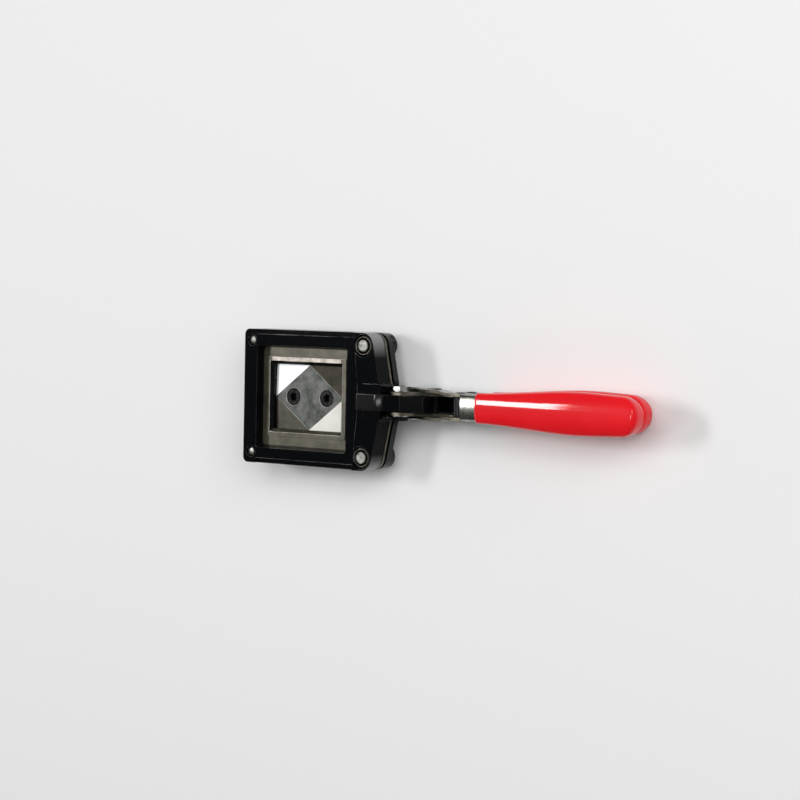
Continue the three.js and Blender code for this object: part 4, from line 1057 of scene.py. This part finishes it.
def shape_ring(verts, x, tip, up):
    length = tip - GRIP_START
    run = x - GRIP_START
    share = run / length
    left = min(1.0, (length - run) / END_ROUNDING)
    rounding = max(0.05, math.sqrt(1 - (1 - left) ** 2))
    cuff = min(1.0, run / CUFF)
    start = 0.9 + 0.1 * math.sqrt(1 - (1 - cuff) ** 2)
    half = grip_half_width(share) * rounding * start
    square = ROOT_SQUARENESS + (TIP_SQUARENESS - ROOT_SQUARENESS) * smooth(share / 0.45)
    near_end = min(1.0, (length - run) / END_EDGE)
    fullness = (0.3 + 0.7 * math.sqrt(1 - (1 - near_end) ** 2)) * start
    for index, vert in enumerate(verts):
        angle = math.tau * index / len(verts)
        y = math.copysign(abs(math.cos(angle)) ** square, math.cos(angle)) * half
        thickness = INNER_THICKNESS * fullness
        if math.sin(angle) > 0:
            thickness = OUTER_THICKNESS * fullness - y * y / (2 * CAMBER_RADIUS)
        z = math.copysign(abs(math.sin(angle)) ** square, math.sin(angle)) * thickness
        vert.co = (x, y, PIVOT_Z + up * (grip_offset(x) + z))


# %% [markdown]
# ## From ring to sleeve
# The extrude operator doubles the ring's edges, and the points that it makes come in no order. Each
# new point is found as the partner of an old one, at the other end of the edge between them. The
# rings lie close together near the tip, where the shape turns fast, and the last one is filled.

# %% Rings extruded from root to tip
def grip_sleeve(tip, up):
    bm = bmesh.new()
    bmesh.ops.create_circle(bm, cap_ends=True, cap_tris=False, segments=RING_POINTS, radius=1)
    ring = bm.verts[:]
    shape_ring(ring, GRIP_START, tip, up)
    stations = [0.1, 0.3, 0.6, 1.0, CUFF]
    length = tip - GRIP_START - CUFF
    stations += [CUFF + length * math.sin(step / RINGS * math.pi / 2) for step in range(1, RINGS + 1)]
    outer_edges = bm.edges[:]
    for station in stations:
        made = bmesh.ops.extrude_edge_only(bm, edges=outer_edges)
        new_verts = [g for g in made["geom"] if isinstance(g, bmesh.types.BMVert)]
        outer_edges = [
            g for g in made["geom"] if isinstance(g, bmesh.types.BMEdge) and set(g.verts) <= set(new_verts)
        ]
        partner = {}
        for edge in {e for v in new_verts for e in v.link_edges}:
            first, second = edge.verts
            if (first in ring) != (second in ring):
                old, new = (first, second) if first in ring else (second, first)
                partner[old] = new
        ring = [partner[v] for v in ring]
        shape_ring(ring, GRIP_START + station, tip, up)
    bmesh.ops.contextual_create(bm, geom=ring)
    bmesh.ops.recalc_face_normals(bm, faces=bm.faces)
    return bm


# %% [markdown]
# ## The hollow under a grip
# The handle inside is a channel of sheet steel, and the vinyl follows it, so a groove runs along the
# grip's inner side. The groove is a long box that leans with the handle, taken out with a Boolean.

# %% Cut the channel and the groove, and finish both grips
CHANNEL_RISE = 3.9
CHANNEL_DROP = 3.2
CHEEK_INNER = 5.4
SHEET = 1.5
BEND = 1.8
FIT = 0.3
COAT = 1.1
SOLID_TIP = 20
GROOVE_SHORTER = 6
WEB_SIDE = 9


def leaning_box(x0, x1, y0, y1, z0, z1, up):
    """A box whose heights are counted from the handle's own sloping centre line."""
    bm = bmesh.new()
    bmesh.ops.create_cube(bm, size=1)
    for vert in bm.verts:
        x = x0 if vert.co.x < 0 else x1
        y = y0 if vert.co.y < 0 else y1
        z = z0 if vert.co.z < 0 else z1
        vert.co = (x, y, PIVOT_Z + up * (grip_offset(x) + z))
    bmesh.ops.recalc_face_normals(bm, faces=bm.faces)
    return bm


for level, up in (("upper", 1), ("lower", -1)):
    tip = GRIP_TIPS[level]
    end = tip - SOLID_TIP
    wide = CHEEK_INNER + SHEET + FIT
    inner = CHEEK_INNER - FIT
    groove_half = inner - COAT
    start = GRIP_START - 1
    top = CHANNEL_RISE + FIT
    web_low = CHANNEL_RISE - SHEET - FIT
    grip = grip_sleeve(tip, up)
    groove_end = end - GROOVE_SHORTER
    groove = leaning_box(start, groove_end, -groove_half, groove_half, -20, web_low - COAT, up)
    grip = combined(grip, groove, "DIFFERENCE")
    round_edges(grip, 0.35, 3, turn=50, keep=lambda place: place.x > GRIP_START + 3)
    slot = leaning_box(start, end + FIT, -wide, wide, -CHANNEL_DROP - FIT, top, up)
    round_edges(
        slot,
        BEND + FIT,
        6,
        turn=50,
        keep=lambda place: abs(place.y) > inner and up * (place.z - PIVOT_Z) > WEB_SIDE,
    )
    filling = leaning_box(start - 1, end + 2, -inner, inner, -CHANNEL_DROP - 1, web_low, up)
    grip = combined(grip, combined(slot, filling, "DIFFERENCE"), "DIFFERENCE")
    print(level, "grip faces:", len(grip.faces))
    finish_piece(level + "_grip", grip, [VINYL], level + "_handle", crease=50)

# %% [markdown]
# ## Small pieces that keep the frame's own mesh
# The screws under the plates, the dowels under the punch and the spacer rings at the corners hardly
# show. They keep the frame's mesh and only get a finish.

# %% Finishes for the pieces that stay
KEPT = {
    "die_screw_front_left": BLACK_OXIDE,
    "die_screw_front_right": BLACK_OXIDE,
    "die_screw_rear_left": BLACK_OXIDE,
    "die_screw_rear_right": BLACK_OXIDE,
    "stripper_screw_left": BLACK_OXIDE,
    "stripper_screw_right": BLACK_OXIDE,
    "punch_dowel_left": BLACK_OXIDE,
    "punch_dowel_right": BLACK_OXIDE,
    "corner_spacer_left": BRIGHT_STEEL,
    "corner_spacer_right": BRIGHT_STEEL,
}
for node, finish in KEPT.items():
    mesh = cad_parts[node].data
    mesh.materials.clear()
    mesh.materials.append(finish)
print("pieces that keep the frame's mesh:", len(KEPT))

# %% [markdown]
# ## The floor
# The tool lies on a plain pale floor that fills the picture in every view from well above the table.

# %% A pale floor
FLOOR_HALF = 3.0
FLOOR_DROP = 0.0002
floor_mesh = bpy.data.meshes.new("floor")
floor_bm = bmesh.new()
bmesh.ops.create_grid(floor_bm, x_segments=1, y_segments=1, size=FLOOR_HALF)
floor_bm.to_mesh(floor_mesh)
floor_bm.free()
floor = bpy.data.objects.new("floor", floor_mesh)
bpy.context.scene.collection.objects.link(floor)
floor.location.z = -FLOOR_DROP
floor_finish = bpy.data.materials.new("pale floor")
floor_finish.use_nodes = True
floor_shader = floor_finish.node_tree.nodes["Principled BSDF"]
floor_shader.inputs["Base Color"].default_value = (0.86, 0.86, 0.86, 1)
floor_shader.inputs["Roughness"].default_value = 0.9
floor_shader.inputs["Specular IOR Level"].default_value = 0.1
floor_mesh.materials.append(floor_finish)
print("floor:", 2 * FLOOR_HALF, "m wide")

# %% [markdown]
# ## Studio light
# Black enamel shows nothing but what it reflects, so the lamps are large and stand where the flat
# tops don't mirror them towards the camera, while the rounded edges do. The strip is what makes the
# long streak on the upper grip. The fill is hidden from reflections and only lightens the colours.

# %% The world and the lamps
world = bpy.data.worlds.new("studio")
world.use_nodes = True
sky = world.node_tree.nodes["Background"]
sky.inputs["Color"].default_value = (1, 1, 1, 1)
sky.inputs["Strength"].default_value = 0.08
bpy.context.scene.world = world


def softbox(name, place, aim, width, height, watts, roll=0):
    lamp = bpy.data.lights.new(name, "AREA")
    lamp.shape = "RECTANGLE"
    lamp.size = width
    lamp.size_y = height
    lamp.energy = watts
    holder = bpy.data.objects.new(name, lamp)
    facing = (Vector(aim) - Vector(place)).to_track_quat("-Z", "Y").to_matrix().to_4x4()
    holder.matrix_world = Matrix.Translation(place) @ facing @ Matrix.Rotation(math.radians(roll), 4, "Z")
    bpy.context.scene.collection.objects.link(holder)
    return holder


softbox("key", (0.3, 0.75, 1.8), (0, 0, 0), 1.0, 1.0, 11)
fill = softbox("fill", (1.3, 0.55, 1.2), (0, 0, 0), 1.4, 1.2, 18)
fill.visible_glossy = False
softbox("strip", (-1.178, 0.295, 1.576), (0.056, 0, 0.03), 0.268, 0.477, 11, roll=-74.6)
softbox("overhead", (-0.5, -0.05, 1.93), (0, 0, 0), 0.2, 0.6, 3)
softbox("front strip", (0.32, -1.5, 1.28), (0.12, 0, 0), 1.0, 0.12, 1)
softbox("left card", (-1.92, 0, 0.56), (0, 0, 0), 2.0, 0.25, 7)
print("lamps:", len(bpy.data.lights))

# %% [markdown]
# ## The camera
# The photograph looks down on the head from the handle's side with a long lens. The camera stands
# about 1.2 metres away, and its picture's upper edge is turned a little from the tool's own axes.

# %% The camera at the photograph's angle
STANDS_AT = (738.5, 62.7, 992.6)
PICTURE_RIGHT = (0.8199, 0.0210, -0.5723)
PICTURE_DOWN = (0.0438, -0.9983, 0.0321)

camera_data = bpy.data.cameras.new("camera")
camera_data.sensor_width = 36
camera_data.lens = 103.2
camera_data.clip_start = 0.05
camera_data.clip_end = 20
camera = bpy.data.objects.new("camera", camera_data)
right = Vector(PICTURE_RIGHT)
ahead = right.cross(Vector(PICTURE_DOWN)).normalized()
down = ahead.cross(right).normalized()
turn = Matrix((right.normalized(), -down, -ahead)).transposed().to_4x4()
camera.matrix_world = Matrix.Translation(TO_FRAME @ Vector(STANDS_AT)) @ turn
bpy.context.scene.collection.objects.link(camera)
bpy.context.scene.camera = camera
print("camera at", [round(c, 3) for c in camera.matrix_world.translation], "m")

# %% [markdown]
# ## Colour
# The plain Standard view shows the colours as they are written.

# %% View transform and the end of the lesson
bpy.context.scene.view_settings.view_transform = "Standard"
